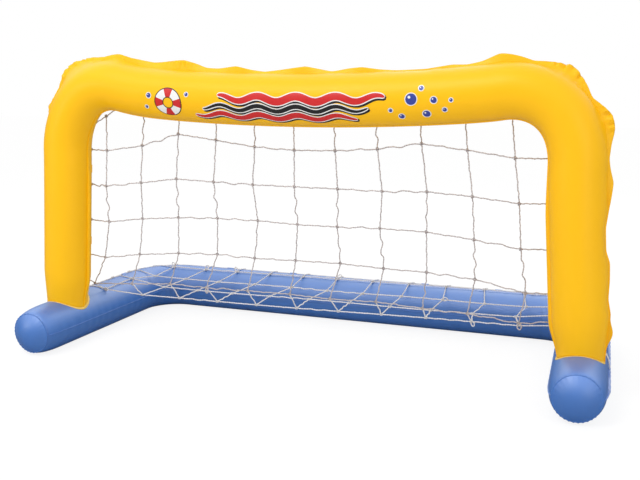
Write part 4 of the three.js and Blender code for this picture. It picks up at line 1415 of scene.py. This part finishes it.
    def _twine(self, first: Array, second: Array, key: int, looseness: float = 1.0) -> Surface:
        """A twine between two points.

        Args:
            first: Where it starts.
            second: Where it ends.
            key: A number that makes its waves differ from the others'.
            looseness: How much of the usual waves it has.

        Returns:
            The cord along a straight line that wavers by two slow sines, more or less by its key, and has
            short kinks that come and go as the square of a slower sine.
        """
        share = np.linspace(0, 1, self.twine_samples)[:, None]
        chord = second - first
        length = np.linalg.norm(chord)
        side = unit(np.cross(chord, least_axis(chord)))
        other = unit(np.cross(chord, side))
        phase = TURN * math.sin(self.uneven_turn * (key + 1))
        reach = self.wobble * mix(*self.wobble_span, math.sin(phase) ** 4) * np.sin(math.pi * share)
        slow, quick = (TURN * pace * length / self.pitch * share for pace in self.wobble_paces)
        waver = side * np.sin(slow + phase) + other * np.sin(quick - phase)
        turns = TURN * share * length / self.kink_length
        kinks = side * np.sin(turns - 2 * phase) + other * np.sin(self.kink_pace * turns + 3 * phase)
        bursts = np.sin(self.burst_pace * turns + phase) ** 2
        held = np.minimum(1, self.kink_onset * np.minimum(share, 1 - share)) * self.kink
        return self.cord.along(first + chord * share + (waver * reach + kinks * bursts * held) * looseness)

    def _knot(self, centre: Array, column_way: Array) -> Surface:
        """A knot of twine.

        Args:
            centre: Where it is.
            column_way: The way along the net's column there.

        Returns:
            A trefoil, which goes twice round the middle and three times round itself, square to the net.
        """
        turn = np.arange(self.knot_samples) * TURN / self.knot_samples
        ring = self.knot_radius * (1 + self.knot_wave_share * np.cos(3 * turn))
        height = self.knot_radius * np.sin(3 * turn)
        path = np.stack([ring * np.cos(2 * turn), ring * np.sin(2 * turn), height], axis=1)
        down = unit(column_way - ACROSS * column_way[0])
        axes = np.stack([ACROSS, down, np.cross(ACROSS, down)])
        return self.knot_cord.along(centre + path @ axes, np.array(self.knot_slant), loop=True)

    def _loop(self, centre: Array, way: Point) -> Surface:
        """A loose loop of twine that leaves a knot along a way and comes back to it, as a drop's outline."""
        turn = np.linspace(0, TURN, self.loop_samples)[:, None]
        out = unit(np.array(way))
        side = unit(np.cross(out, BACKWARD + UPWARD * self.loop_lean_share))
        path = out * (1 - np.cos(turn)) / 2 + side * self.loop_width_share * np.sin(turn)
        return self.cord.along(centre + path * self.loop_length, np.cross(out, side))

    def _tie(self, wish: Array, source: Array) -> tuple[Array, Surface]:
        """Where a twine is tied to the rope.

        Args:
            wish: A point near the wanted place.
            source: Where the twine comes from.

        Returns:
            The point beside the rope that the twine reaches, and the lashing round the rope there.
        """
        route = self.rope.route
        nearest = int(np.argmin(np.linalg.norm(route - wish, axis=1)))
        along = unit(route[(nearest + 2) % len(route)] - route[nearest - 2])
        centre = route[nearest]
        back = source - centre
        back = unit(back - along * (back @ along))
        spot = centre + back * (self.rope.cord.radius + self.cord.radius * self.tie_depth_share)
        return spot, self._lashing(centre, along)

    def _lashing(self, centre: Array, along: Array) -> Surface:
        """A few turns of twine round the rope, as a helix that climbs by the twine's thickness a turn."""
        turn = np.linspace(-self.lashing_turns / 2, self.lashing_turns / 2, self.lashing_samples)[:, None]
        first = unit(np.cross(along, least_axis(along)))
        ring = first * np.cos(TURN * turn) + np.cross(along, first) * np.sin(TURN * turn)
        reach = self.rope.cord.radius + self.cord.radius * self.lashing_depth_share
        return self.cord.along(centre + along * turn * self.cord.radius * 2 + ring * reach, along)

    def _draped(self, knot: Array, from_share: float, from_angle: float, to_share: float) -> list[Surface]:
        """A twine over the base tube to the rope, with its lashing.

        Args:
            knot: Where it starts.
            from_share: The share of the tube's length at which it meets the tube.
            from_angle: The angle there.
            to_share: The share of the tube's length at which it is tied.

        Returns:
            The cord along the tube's round surface and its lashing.
        """
        rope = self.rope
        steps = np.linspace(0, 1, self.drape_steps)
        angles = mix(from_angle, rope.base_angle + self.tie_turn_share * math.pi, steps)
        over = self.base.tube.spot(mix(from_share, to_share, steps), angles, self.drape_off)
        spot, lashing = self._tie(self.base.tube.spot(to_share, rope.base_angle, rope.off), over[-1])
        route = rounded(np.vstack([knot, over, spot]), self.cord.step, self.drape_bend_reach)
        return [self.cord.along(route), lashing]

    def _rows(self, first: int, last: int) -> list[Surface]:
        """The knots and the twines of the rows from first to last, and the loose loops among them."""
        parts = []
        loose = self.floor_slack_share if first > 0 else 1.0
        for i in range(first, last + 1):
            for j in range(self.columns):
                here = self.knots[i, j]
                way = self.knots[min(i + 1, len(self.knots) - 1), j] - self.knots[max(i - 1, 0), j]
                parts.append(self._knot(here, way))
                if j + 1 < self.columns:
                    parts.append(self._twine(here, self.knots[i, j + 1], self.row_key * i + j, loose))
                if i > first or first > 0:
                    key = self.column_keys[0] * i + self.column_keys[1] * j
                    parts.append(self._twine(self.knots[i - 1, j], here, key, loose))
        for i, j, way in self.loose_loops:
            if first <= i <= last:
                parts.append(self._loop(self.knots[i, j], way))
        return parts

    def _corner_twine(self) -> tuple[Array, list[Surface]]:
        """The twine across the left inner corner, which the first column hangs from.

        Returns:
            The place on it where the column's twine ends, and its surfaces: the twine from the rope on the
            post to the rope on the crossbar, its two lashings and the knot.
        """
        arch = self.arch
        low = np.array([-arch.top_half_span, 0.0, arch.crossbar_height - self.corner_twine_drop])
        high = np.array([self.corner_twine_reach - arch.top_half_span, 0.0, arch.crossbar_height])
        inside = np.array([0.0, 0.0, arch.crossbar_height / 2])
        start, low_lashing = self._tie(low, inside)
        end, high_lashing = self._tie(high, inside)
        knot = mix(start, end, self.corner_knot_share)
        twines = [self._twine(start, knot, 3), self._twine(knot, end, 4)]
        return knot, [*twines, self._knot(knot, end - start), low_lashing, high_lashing]

    def back(self) -> Surface:
        """The upright net, tied to the rope behind the crossbar and the posts."""
        last = len(self.back_rows) - 1
        corner, corner_parts = self._corner_twine()
        parts = self._rows(0, last) + corner_parts + [self._twine(self.knots[0, 0], corner, 0)]
        under = self.arch.crossbar_height - self.arch.radius
        for j, knot in enumerate(self.knots[0, 1:], start=1):
            spot, lashing = self._tie(np.array([knot[0] + self.top_tie_shift, knot[1], under]), knot)
            parts += [self._twine(knot, spot, j), lashing]
        for i in range(last + 1):
            for end, j in ((End.LEFT, 0), (End.RIGHT, self.columns - 1)):
                knot = self.knots[i, j]
                post = np.array([end.value * self.arch.top_half_span, knot[1], knot[2]])
                spot, lashing = self._tie(post, knot)
                parts += [self._twine(knot, spot, self.post_key * i + j), lashing]
        return joined(parts)

    def floor(self) -> Surface:
        """The lower net, draped over the legs and the rear bar and tied to the rope outside them."""
        first = len(self.back_rows)
        last = len(self.knots) - 1
        parts = self._rows(first, last)
        tube = self.base.tube
        for i in range(first, last + 1):
            on_bar = i == last
            for end, j in ((End.LEFT, 0), (End.RIGHT, self.columns - 1)):
                knot = self.knots[i, j]
                beside = self.base.leg_rear_half_span + (0 if on_bar else self.base.radius)
                to_share = tube.nearest_share(end.value * beside, knot[1])
                ahead = knot[0] + end.value * self.pitch / 4
                from_share = tube.nearest_share(ahead, knot[1]) if on_bar else to_share
                parts += self._draped(knot, from_share, self.drape_start_angle, to_share)
        for knot in self.knots[last]:
            share = tube.nearest_share(*knot[:2])
            parts += self._draped(knot, share, math.pi / 2, share)
        return joined(parts + self._hanging_loop())

    def _hanging_loop(self) -> list[Surface]:
        """A spare loop of twine, lashed to the rope behind the right post, down the leg's outer side.

        Returns:
            The loop and its lashing. The loop lies on the tube: its angle falls and rises again as a cosine
            while it moves along the tube and back as a sine.
        """
        tube = self.base.tube
        share = 1 - self.hanging_reach / tube.length
        lashing = self._tie(tube.spot(share, self.rope.base_angle, self.rope.off), UPWARD)[1]
        turn = np.linspace(0, TURN, self.hanging_samples)
        shares = share + self.hanging_width_half * np.sin(turn) / tube.length
        angles = self.rope.base_angle - self.hanging_turn * (1 - np.cos(turn)) / 2
        hugging = mix(self.drape_off, self.rope.off, (0.5 + 0.5 * np.cos(turn)) ** 4)
        return [self.cord.along(tube.spot(shares, angles, hugging), tube.along(share)), lashing]

    def build(self, shop: Workshop, upright: Material, floor: Material) -> None:
        """Makes the two parts of the net."""
        # The upright net takes the darker twine, which is painted shade, and the floor net takes the paler
        # twine, which is painted light.
        for name, surface, cord in (("back", self.back(), upright), ("floor", self.floor(), floor)):
            shop.piece(f"net_{name}_twine", surface, cord, Slot.CORD, (f"net_{name}",), "root", self.crease)


@dataclass
class Valve:
    """An inflation valve: the moulding, the stopper on its tether and the flap inside."""

    name: str
    tube: Tube
    share: float
    angle: float
    to_end: int
    neck_radius: float = 6.2
    bore_radius: float = 4.3
    neck_height: float = 8.0
    flange_radius: float = 15.0
    flange_seat: float = 0.15
    flange_thickness: float = 1.2
    tube_depth: float = 7.0
    stopper_radius: float = 8.0
    stopper_thickness: float = 2.0
    plug_top_radius: float = 3.9
    plug_tip_radius: float = 3.4
    plug_depth: float = 4.0
    seat_gap: float = 0.3
    tether_reach: float = 14.0
    tether_width: float = 5.0
    tether_thickness: float = 1.4
    post_thickness: float = 1.6
    hinge_clearance: float = 0.4
    flap_thickness: float = 0.8
    flap_radius: float = 5.2
    flap_boss_radius: float = 2.2
    flap_step: float = 0.2
    settle_share: float = 0.3
    lip: float = 0.35
    flange_fall: float = 0.7
    neck_fillet: float = 0.6
    flange_start_share: float = 0.05
    flange_steps: int = 10
    rim: float = 0.4
    sides: int = 72
    bar_sides: int = 24
    bar_rows: int = 15
    bar_squareness: float = 0.35
    bar_end_share: float = 0.8
    bar_end_power: int = 12
    tether_waist_share: float = 0.35

    def _placed(self, surface: Surface) -> Surface:
        """The surface at the valve's place: its z square to the tube's surface and its x along the tube."""
        axis = self.tube.normal(self.share, self.angle)
        along = self.tube.along(self.share) * self.to_end
        axes = np.stack([along, np.cross(axis, along), axis])
        return surface.placed(self.tube.spot(self.share, self.angle), axes)

    def _settled(self, surface: Surface) -> Surface:
        """Lays what is wider than the neck down on the round tube."""
        points = surface.points.copy()
        spread = np.hypot(points[:, 0], points[:, 1]) - self.neck_radius
        drop = self.tube.radius - np.sqrt(self.tube.radius**2 - points[:, 1] ** 2)
        points[:, 2] -= drop * eased(spread / (self.flange_radius - self.neck_radius) / self.settle_share)
        return Surface(points, surface.quads, surface.triangles)

    def _bar(self, low: Array, high: Array, waist_share: float = 0.0) -> Surface:
        """A soft-edged bar along x.

        Args:
            low: Its lowest corner.
            high: Its highest corner.
            waist_share: How much thinner it is in the middle.

        Returns:
            The bar: its section is a power of the cosine and sine, which rounds the corners, and it narrows a
            little at both ends.
        """
        turn = np.arange(self.bar_sides) * TURN / self.bar_sides
        waves = (np.cos(turn), np.sin(turn))
        across, upright = (np.sign(wave) * np.abs(wave) ** self.bar_squareness for wave in waves)
        share = np.linspace(0, 1, self.bar_rows)[:, None]
        half = (high - low) / 2
        middle = (high + low) / 2
        end = np.maximum(np.sqrt(1 - (2 * share - 1) ** self.bar_end_power), self.bar_end_share)
        y = middle[1] + half[1] * across * end
        z = middle[2] + half[2] * upright * end * (1 - waist_share * np.sin(math.pi * share) ** 2)
        x = np.broadcast_to(mix(low[0], high[0], share), y.shape)
        poles = (np.array([edge[0], *middle[1:]]) for edge in (low, high))
        surface = Surface.grid(np.stack([x, y, z], axis=-1), wrap=True)
        return surface.capped(self.bar_sides, *poles).closed_outwards()

    @property
    def hinge_height(self) -> float:
        """The height of the stopper's hinge."""
        return self.neck_height + self.seat_gap + self.tether_thickness / 2

    def body(self) -> Surface:
        """The flange, neck and inner tube as one turned section, and the post beside them."""
        under = self.flange_seat
        over = self.flange_seat + self.flange_thickness
        neck = self.neck_radius
        top = self.neck_height
        lip = self.lip
        steps = mix(neck, self.flange_radius, np.linspace(self.flange_start_share, 1, self.flange_steps))
        fall = self.flange_fall / (steps[-1] - steps[0])
        rising = [[radius, over - fall * (radius - steps[0])] for radius in steps[::-1]]
        profile = [
            [self.bore_radius, -self.tube_depth],
            [neck, -self.tube_depth],
            [neck, under],
            *[[radius, under] for radius in steps],
            *rising,
            [neck, over + self.neck_fillet],
            [neck, top - 3 * lip],
            [neck + lip, top - 2 * lip],
            [neck + lip, top - lip],
            [neck - lip, top],
            [self.bore_radius + lip, top],
            [self.bore_radius, top - lip],
        ]
        moulding = self._settled(lathed(np.array(profile), self.sides))
        half = np.array([self.post_thickness / 2, self.tether_width / 2, 0])
        foot = np.array([self.tether_reach, 0, under + self.flange_thickness / 2])
        head_height = self.hinge_height - self.tether_thickness / 2 - self.hinge_clearance
        head = np.array([self.tether_reach, 0, head_height])
        return self._placed(joined([moulding, self._bar(foot - half, head + half)]))

    def stopper(self) -> Surface:
        """The cap with its grip rim and tapered plug, and the tether to the hinge."""
        low = self.neck_height + self.seat_gap
        top = low + self.stopper_thickness
        rim = self.rim
        grip = self.stopper_radius
        tip = low - self.plug_depth
        profile = [
            [0, tip],
            [self.plug_tip_radius - rim, tip],
            [self.plug_tip_radius, tip + rim],
            [self.plug_top_radius, low],
            [grip - rim, low],
            [grip, low + rim],
            [grip, top - rim],
            [grip - rim, top],
            [grip - 4 * rim, top],
            [grip - 5 * rim, top - rim],
            [2 * rim, top - rim],
            [0, top - rim],
        ]
        cap = lathed(np.array(profile), self.sides)
        half = self.tether_width / 2
        strap_low = np.array([grip / 2, -half, low])
        strap_high = np.array([self.tether_reach, half, low + self.tether_thickness])
        strap = self._bar(strap_low, strap_high, self.tether_waist_share)
        knuckle = self.tether_thickness / 2
        pin = lathed(np.array([[0, -half], [knuckle, -half], [knuckle, half], [0, half]]), self.bar_sides)
        hinge = np.array([self.tether_reach, 0, self.hinge_height])
        pin = pin.placed(hinge, np.array([ACROSS, UPWARD, -BACKWARD]))
        return self._placed(joined([cap, strap, pin]))

    def flap(self) -> Surface:
        """The round non-return flap, with a raised middle on its inner face."""
        top = -self.tube_depth - self.seat_gap
        low = top - self.flap_thickness
        step = self.flap_step
        profile = [
            [0, low],
            [self.flap_boss_radius, low],
            [self.flap_boss_radius + 2 * step, low + step],
            [self.flap_radius - step, low + step],
            [self.flap_radius, low + 2 * step],
            [self.flap_radius, top],
            [0, top],
        ]
        return self._placed(lathed(np.array(profile), self.sides))

    def build(self, shop: Workshop, clear: Material) -> None:
        """Makes the three pieces, the stopper and the flap on their own bodies."""
        for part, surface in (("body", self.body()), ("stopper", self.stopper()), ("flap", self.flap())):
            node = f"{self.name}_valve_{part}"
            body = "root" if part == "body" else node
            shop.piece(f"{node}_moulding", surface, clear, Slot.CLEAR, (node,), body)


@dataclass(frozen=True)
class Stripe:
    """A wavy stripe of the print: where it starts and ends, its level, half its width and its ink."""

    reach: Pair
    level: float
    half: float
    ink: str


@dataclass
class ArchPrint:
    """The print on the crossbar's front: a swimming ring, wavy stripes and bubbles, in four inks.

    Places are distances from the crossbar's middle along it and from its front line round it.
    """

    tube: Tube
    outline: float = 2.2
    shadow_outline_share: float = 1.4
    shadow_shift: Pair = (2.6, -3.2)
    black_off: float = 0.3
    white_off: float = 0.42
    colour_off: float = 0.54
    shine_off: float = 0.64
    cell: float = 2.6
    least_half: float = 0.01
    wave_height: float = 6.0
    wave_length: float = 92.0
    stripe_end_power: float = 0.3
    stripe_samples: int = 110
    wave_stripes: tuple[Stripe, ...] = (
        Stripe((-168.0, 226.0), 3.0, 8.5, "red"),
        Stripe((-206.0, 188.0), -19.0, 5.0, "black"),
        Stripe((-228.0, 160.0), -40.0, 7.5, "red"),
    )
    ring_place: Pair = (-294.0, -16.0)
    ring_radius: float = 23.5
    ring_half: float = 9.5
    ring_samples: int = 70
    ring_bands: int = 4
    ring_band_share: float = 0.46
    band_samples: int = 12
    dot_samples: int = 17
    bubble_outline_share: float = 0.8
    shine_share: float = 0.24
    shine_place_shares: Pair = (-0.32, 0.36)
    bubble_spots: tuple[Point, ...] = (
        (282, -2, 12.0), (312, -36, 8.0), (258, -40, 6.0), (330, -6, 6.5), (351, -28, 4.5), (304, 20, 5.0),
        (366, -8, 3.6), (236, -24, 4.0), (-344, -2, 5.5), (-352, -30, 3.8), (-246, 6, 4.2),
    )

    def _laid(self, flat: Array, off: float) -> Surface:
        """Flat places laid on the tube."""
        share = 0.5 + flat[..., 0] / self.tube.length
        angle = -math.pi / 2 + flat[..., 1] / self.tube.radius
        normals = self.tube.normal(share, angle).reshape(-1, 3)
        return Surface.grid(self.tube.spot(share, angle, off)).facing(normals)

    def _strip(self, line: Array, half_width: Array, off: float) -> Surface:
        """A strip of ink: a line with so much ink to each side of it."""
        tangent = unit(np.gradient(line, axis=0))
        sideways = np.stack([-tangent[:, 1], tangent[:, 0]], axis=1)
        columns = max(3, int(2 * half_width.max() / self.cell) + 1)
        share = np.linspace(-1, 1, columns)[None, :, None]
        return self._laid(line[:, None] + sideways[:, None] * share * half_width[:, None, None], off)

    def _disc(self, centre: Pair, radius: float, off: float) -> Surface:
        """A round dot: a strip along its diameter whose width is the circle's."""
        turn = np.linspace(0, math.pi, self.dot_samples)
        line = np.stack([centre[0] - radius * np.cos(turn), np.full_like(turn, centre[1])], axis=1)
        return self._strip(line, np.maximum(radius * np.sin(turn), self.least_half), off)

    def _arc(self, turn: Array, half_width: float, off: float) -> Surface:
        """A strip along the swimming ring's circle."""
        line = np.array(self.ring_place) + self.ring_radius * np.stack([np.cos(turn), np.sin(turn)], axis=1)
        return self._strip(line, np.full(len(turn), half_width), off)

    def stripes(self) -> list[tuple[str, Surface]]:
        """Wavy stripes, one under the other, on white rims and a black shadow.

        Returns:
            Pairs of ink and surface. Each stripe follows a sine and narrows to rounded ends.
        """
        parts = []
        span = np.linspace(0, 1, self.stripe_samples)
        for stripe in self.wave_stripes:
            x = mix(*stripe.reach, span)
            wave = self.wave_height * np.sin(TURN * x / self.wave_length)
            line = np.stack([x, stripe.level + wave], axis=1)
            half = stripe.half * np.sin(math.pi * span) ** self.stripe_end_power
            shadow_half = half + self.outline * self.shadow_outline_share
            parts += [
                ("black", self._strip(line + self.shadow_shift, shadow_half, self.black_off)),
                ("white", self._strip(line, half + self.outline, self.white_off)),
                (stripe.ink, self._strip(line, half, self.colour_off)),
            ]
        return parts

    def life_ring(self) -> list[tuple[str, Surface]]:
        """A swimming ring: black-rimmed and white, with red bands across it, as pairs of ink and surface."""
        whole = np.linspace(0, TURN, self.ring_samples)
        half = self.ring_half
        parts = [
            ("black", self._arc(whole, half + self.outline, self.black_off)),
            ("white", self._arc(whole, half, self.white_off)),
        ]
        for band in range(self.ring_bands):
            across = np.linspace(-0.5, 0.5, self.band_samples) * self.ring_band_share
            parts.append(("red", self._arc(TURN * (band + across) / self.ring_bands, half, self.colour_off)))
        return parts

    def bubbles(self) -> list[tuple[str, Surface]]:
        """Blue bubbles with white rims and shines, as pairs of ink and surface."""
        parts = []
        for x, y, radius in self.bubble_spots:
            rim_radius = radius + self.outline * self.bubble_outline_share
            shine = (x + radius * self.shine_place_shares[0], y + radius * self.shine_place_shares[1])
            parts += [
                ("white", self._disc((x, y), rim_radius, self.white_off)),
                ("blue", self._disc((x, y), radius, self.colour_off)),
                ("white", self._disc(shine, radius * self.shine_share, self.shine_off)),
            ]
        return parts

    def build(self, shop: Workshop, inks: dict[str, Material]) -> None:
        """Makes one piece of each ink."""
        motifs = self.stripes() + self.life_ring() + self.bubbles()
        for name, material in inks.items():
            shop.piece(f"print_{name}", joined([surface for ink, surface in motifs if ink == name]), material)


@dataclass(frozen=True)
class Studio:
    """The camera, the floor and the soft light."""

    camera_place: Point = (755.2, -1874.7, 698.0)
    yaw_degrees: float = 20.4076
    pitch_degrees: float = 10.9655
    roll_degrees: float = -0.1974
    lens: float = 49.94
    floor_half: float = 9000.0
    floor_colour: Colour = (0.78, 0.78, 0.78)
    floor_worn: Colour = (0.76, 0.76, 0.76)
    floor_shown: Colour = (0.17, 0.17, 0.17)
    floor_lift: float = 0.86
    floor_grain_scale: float = 3.0
    world_level: float = 0.78
    room_level: float = 0.08
    room_top: float = 2.1
    room_rearward: float = 0.05
    room_upward: float = 1.0
    room_reach: float = 0.8
    lamp_aim: Point = (0.0, 0.0, 300.0)
    # Place and size in millimetres, and power in watts
    lamps: tuple[tuple[str, Point, float, float], ...] = (
        ("key_softbox", (-600.0, -1700.0, 2500.0), 1400.0, 26.0),
        ("left_softbox", (-2500.0, -2300.0, 1100.0), 1100.0, 11.0),
        ("right_softbox", (2300.0, -1900.0, 900.0), 1800.0, 9.0),
        ("rear_softbox", (0.0, 2600.0, 1500.0), 2400.0, 9.0),
    )

    def camera(self, shop: Workshop) -> None:
        """Sets up the camera: upright by its pitch, turned by its yaw, and about its own line by its roll."""
        turns = (("Z", self.yaw_degrees), ("X", 90 - self.pitch_degrees), ("Z", self.roll_degrees))
        yaw, pitch, roll = (Matrix.Rotation(math.radians(degrees), 4, axis) for axis, degrees in turns)
        lens = bpy.data.cameras.new("camera")
        lens.lens = self.lens
        made = added("camera", lens)
        made.matrix_world = Matrix.Translation(shop.place(self.camera_place)) @ yaw @ pitch @ roll
        bpy.context.scene.camera = made

    def floor(self) -> None:
        """Lays a pale floor that shows white to the camera and keeps the goal's soft shadow."""
        shader = Shader(bpy.data.materials.new("floor_paper"))
        grain = shader.noise(shader.coordinates("Object"), self.floor_grain_scale, 2.0)
        paper = shader.blend(grain, self.floor_colour, self.floor_worn)
        paths = shader.node("ShaderNodeLightPath", {}, {}).outputs
        ends = {0: Value(shader, paths["Is Diffuse Ray"]), 6: (*self.floor_shown, 1.0), 7: paper}
        shown = shader.node("ShaderNodeMix", {"data_type": "RGBA"}, ends).outputs[2]
        skin = shader.node("ShaderNodeBsdfDiffuse", {}, {"Color": shown})
        lift = Value(shader, paths["Is Camera Ray"]) * self.floor_lift
        glow = shader.node("ShaderNodeEmission", {}, {"Strength": lift})
        both = shader.node("ShaderNodeAddShader", {}, {0: skin.outputs[0], 1: glow.outputs[0]})
        shader.node("ShaderNodeOutputMaterial", {}, {"Surface": both.outputs[0]})
        half = self.floor_half * MILLIMETRE
        corners = [(-half, -half, 0), (half, -half, 0), (half, half, 0), (-half, half, 0)]
        mesh = bpy.data.meshes.new("floor")
        mesh.from_pydata(corners, [], [(0, 1, 2, 3)])
        mesh.materials.append(shader.owner)
        added("floor", mesh)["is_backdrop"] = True

    def world(self) -> None:
        """Sets an even light from all round, which shows as plain white behind and over the goal.

        The strength is one to the camera and through clear vinyl, and the level otherwise. In reflections it
        follows a sum of the direction's y and z, because the room is white overhead and dim at the sides.
        """
        shader = Shader(bpy.data.worlds.new("studio"))
        paths = shader.node("ShaderNodeLightPath", {}, {}).outputs
        seen = Value(shader, paths["Is Camera Ray"]) + Value(shader, paths["Is Transmission Ray"])
        glossy = Value(shader, paths["Is Glossy Ray"])
        _, rearward, upward = shader.split(shader.coordinates("Generated"))
        bright = rearward * self.room_rearward + upward * self.room_upward
        ends = {"From Min": 0.0, "From Max": self.room_reach}
        ends |= {"To Min": self.room_level, "To Max": self.room_top, "Value": bright}
        room = shader.node("ShaderNodeMapRange", {"interpolation_type": "SMOOTHSTEP"}, ends).outputs[0]
        other = glossy * Value(shader, room) + (1 - glossy) * self.world_level
        strength = seen + (1 - seen) * other
        sky = shader.node("ShaderNodeBackground", {}, {"Color": (1.0, 1.0, 1.0, 1.0), "Strength": strength})
        shader.node("ShaderNodeOutputWorld", {}, {"Surface": sky.outputs[0]})
        bpy.context.scene.world = shader.owner

    def light(self, shop: Workshop) -> None:
        """Hangs the softboxes, each turned towards its aim."""
        aim = shop.place(self.lamp_aim)
        for name, place, size, power in self.lamps:
            lamp = bpy.data.lights.new(name, "AREA")
            lamp.shape = "DISK"
            lamp.size = size * MILLIMETRE
            lamp.energy = power
            made = added(name, lamp)
            made.location = shop.place(place)
            made.rotation_euler = (aim - made.location).to_track_quat("-Z", "Y").to_euler()

    def build(self, shop: Workshop) -> None:
        """Sets up everything round the goal."""
        self.camera(shop)
        self.floor()
        self.world()
        self.light(shop)
        bpy.context.scene.view_settings.view_transform = "Standard"
        log.info("studio: camera, floor, world and %d lamps", len(self.lamps))


def corners() -> dict[str, list[float]]:
    """The shown object's lowest and highest corner as plain lists."""
    low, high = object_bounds()
    return {"low": list(low), "high": list(high)}


def main() -> None:
    """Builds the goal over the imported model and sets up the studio."""
    logging.basicConfig(level=logging.INFO, format="%(message)s")
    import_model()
    low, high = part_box("left_foot_patch")
    shop = Workshop(np.array([0.0, (low.y + high.y) / 2 / MILLIMETRE, 0.0]))

    yellow = VinylFinish("yellow_vinyl", (0.98, 0.54, 0.001), (0.96, 0.5, 0.001), 0.42, shine=0.28).material()
    # The foot patches' paler yellow is a painted highlight, which shows as a pale line along their rims below
    # the feet.
    pale = VinylFinish("foot_patch_painted_highlight_vinyl", (1.0, 0.7, 0.16), (0.98, 0.65, 0.12), 0.42).material()
    blue = VinylFinish(
        "blue_vinyl", (0.03, 0.165, 0.55), (0.022, 0.142, 0.49), 0.46, shine=1.0, coat=0.8
    ).material()
    clear = MottledFinish(
        "clear_vinyl", (0.78, 0.83, 0.86), (0.68, 0.74, 0.79), 0.3, mottle_scale=160.0, mottle_detail=3.0,
        mottle_height=0.0001, mottle_strength=0.4, layer="Transmission Weight", layer_level=0.35,
    ).material()
    # The twine comes as two copies of one cord, in painted shade and painted light. The upright net's is darker
    # in both its colours, as painted shade. The floor net's, which the border rope also takes, is paler, as
    # painted light. Between each pair of colours the noise spreads real soil.
    twine = CordFinish("upright_twine_painted_shade", (0.86, 0.8, 0.79), (0.36, 0.3, 0.3), soil_scale=45.0).material()
    floor_twine_painted_light = CordFinish("floor_twine_painted_light", (0.96, 0.95, 0.96), (0.88, 0.86, 0.88), sheen=0.7).material()
    inks = {
        "black": MottledFinish("ink_black", (0.012, 0.012, 0.014), (0.02, 0.02, 0.022)).material(),
        "white": MottledFinish("ink_white", (0.86, 0.86, 0.85), (0.8, 0.8, 0.79)).material(),
        "red": MottledFinish("ink_red", (0.66, 0.018, 0.02), (0.58, 0.014, 0.016)).material(),
        "blue": MottledFinish("ink_blue", (0.04, 0.065, 0.36), (0.03, 0.05, 0.3)).material(),
    }

    base = Base()
    arch = Arch(base)
    rope = BorderRope(arch, base)
    base.build(shop, blue)
    arch.build(shop, yellow, pale)
    rope.build(shop, floor_twine_painted_light, yellow, blue)
    Net(arch, base, rope).build(shop, twine, floor_twine_painted_light)
    Valve("arch", arch.tube, arch.valve_share, arch.valve_angle, 1).build(shop, clear)
    Valve("base", base.tube, base.valve_share, base.valve_angle, -1).build(shop, clear)
    ArchPrint(arch.tube).build(shop, inks)
    Studio().build(shop)


if __name__ == "__main__":
    main()
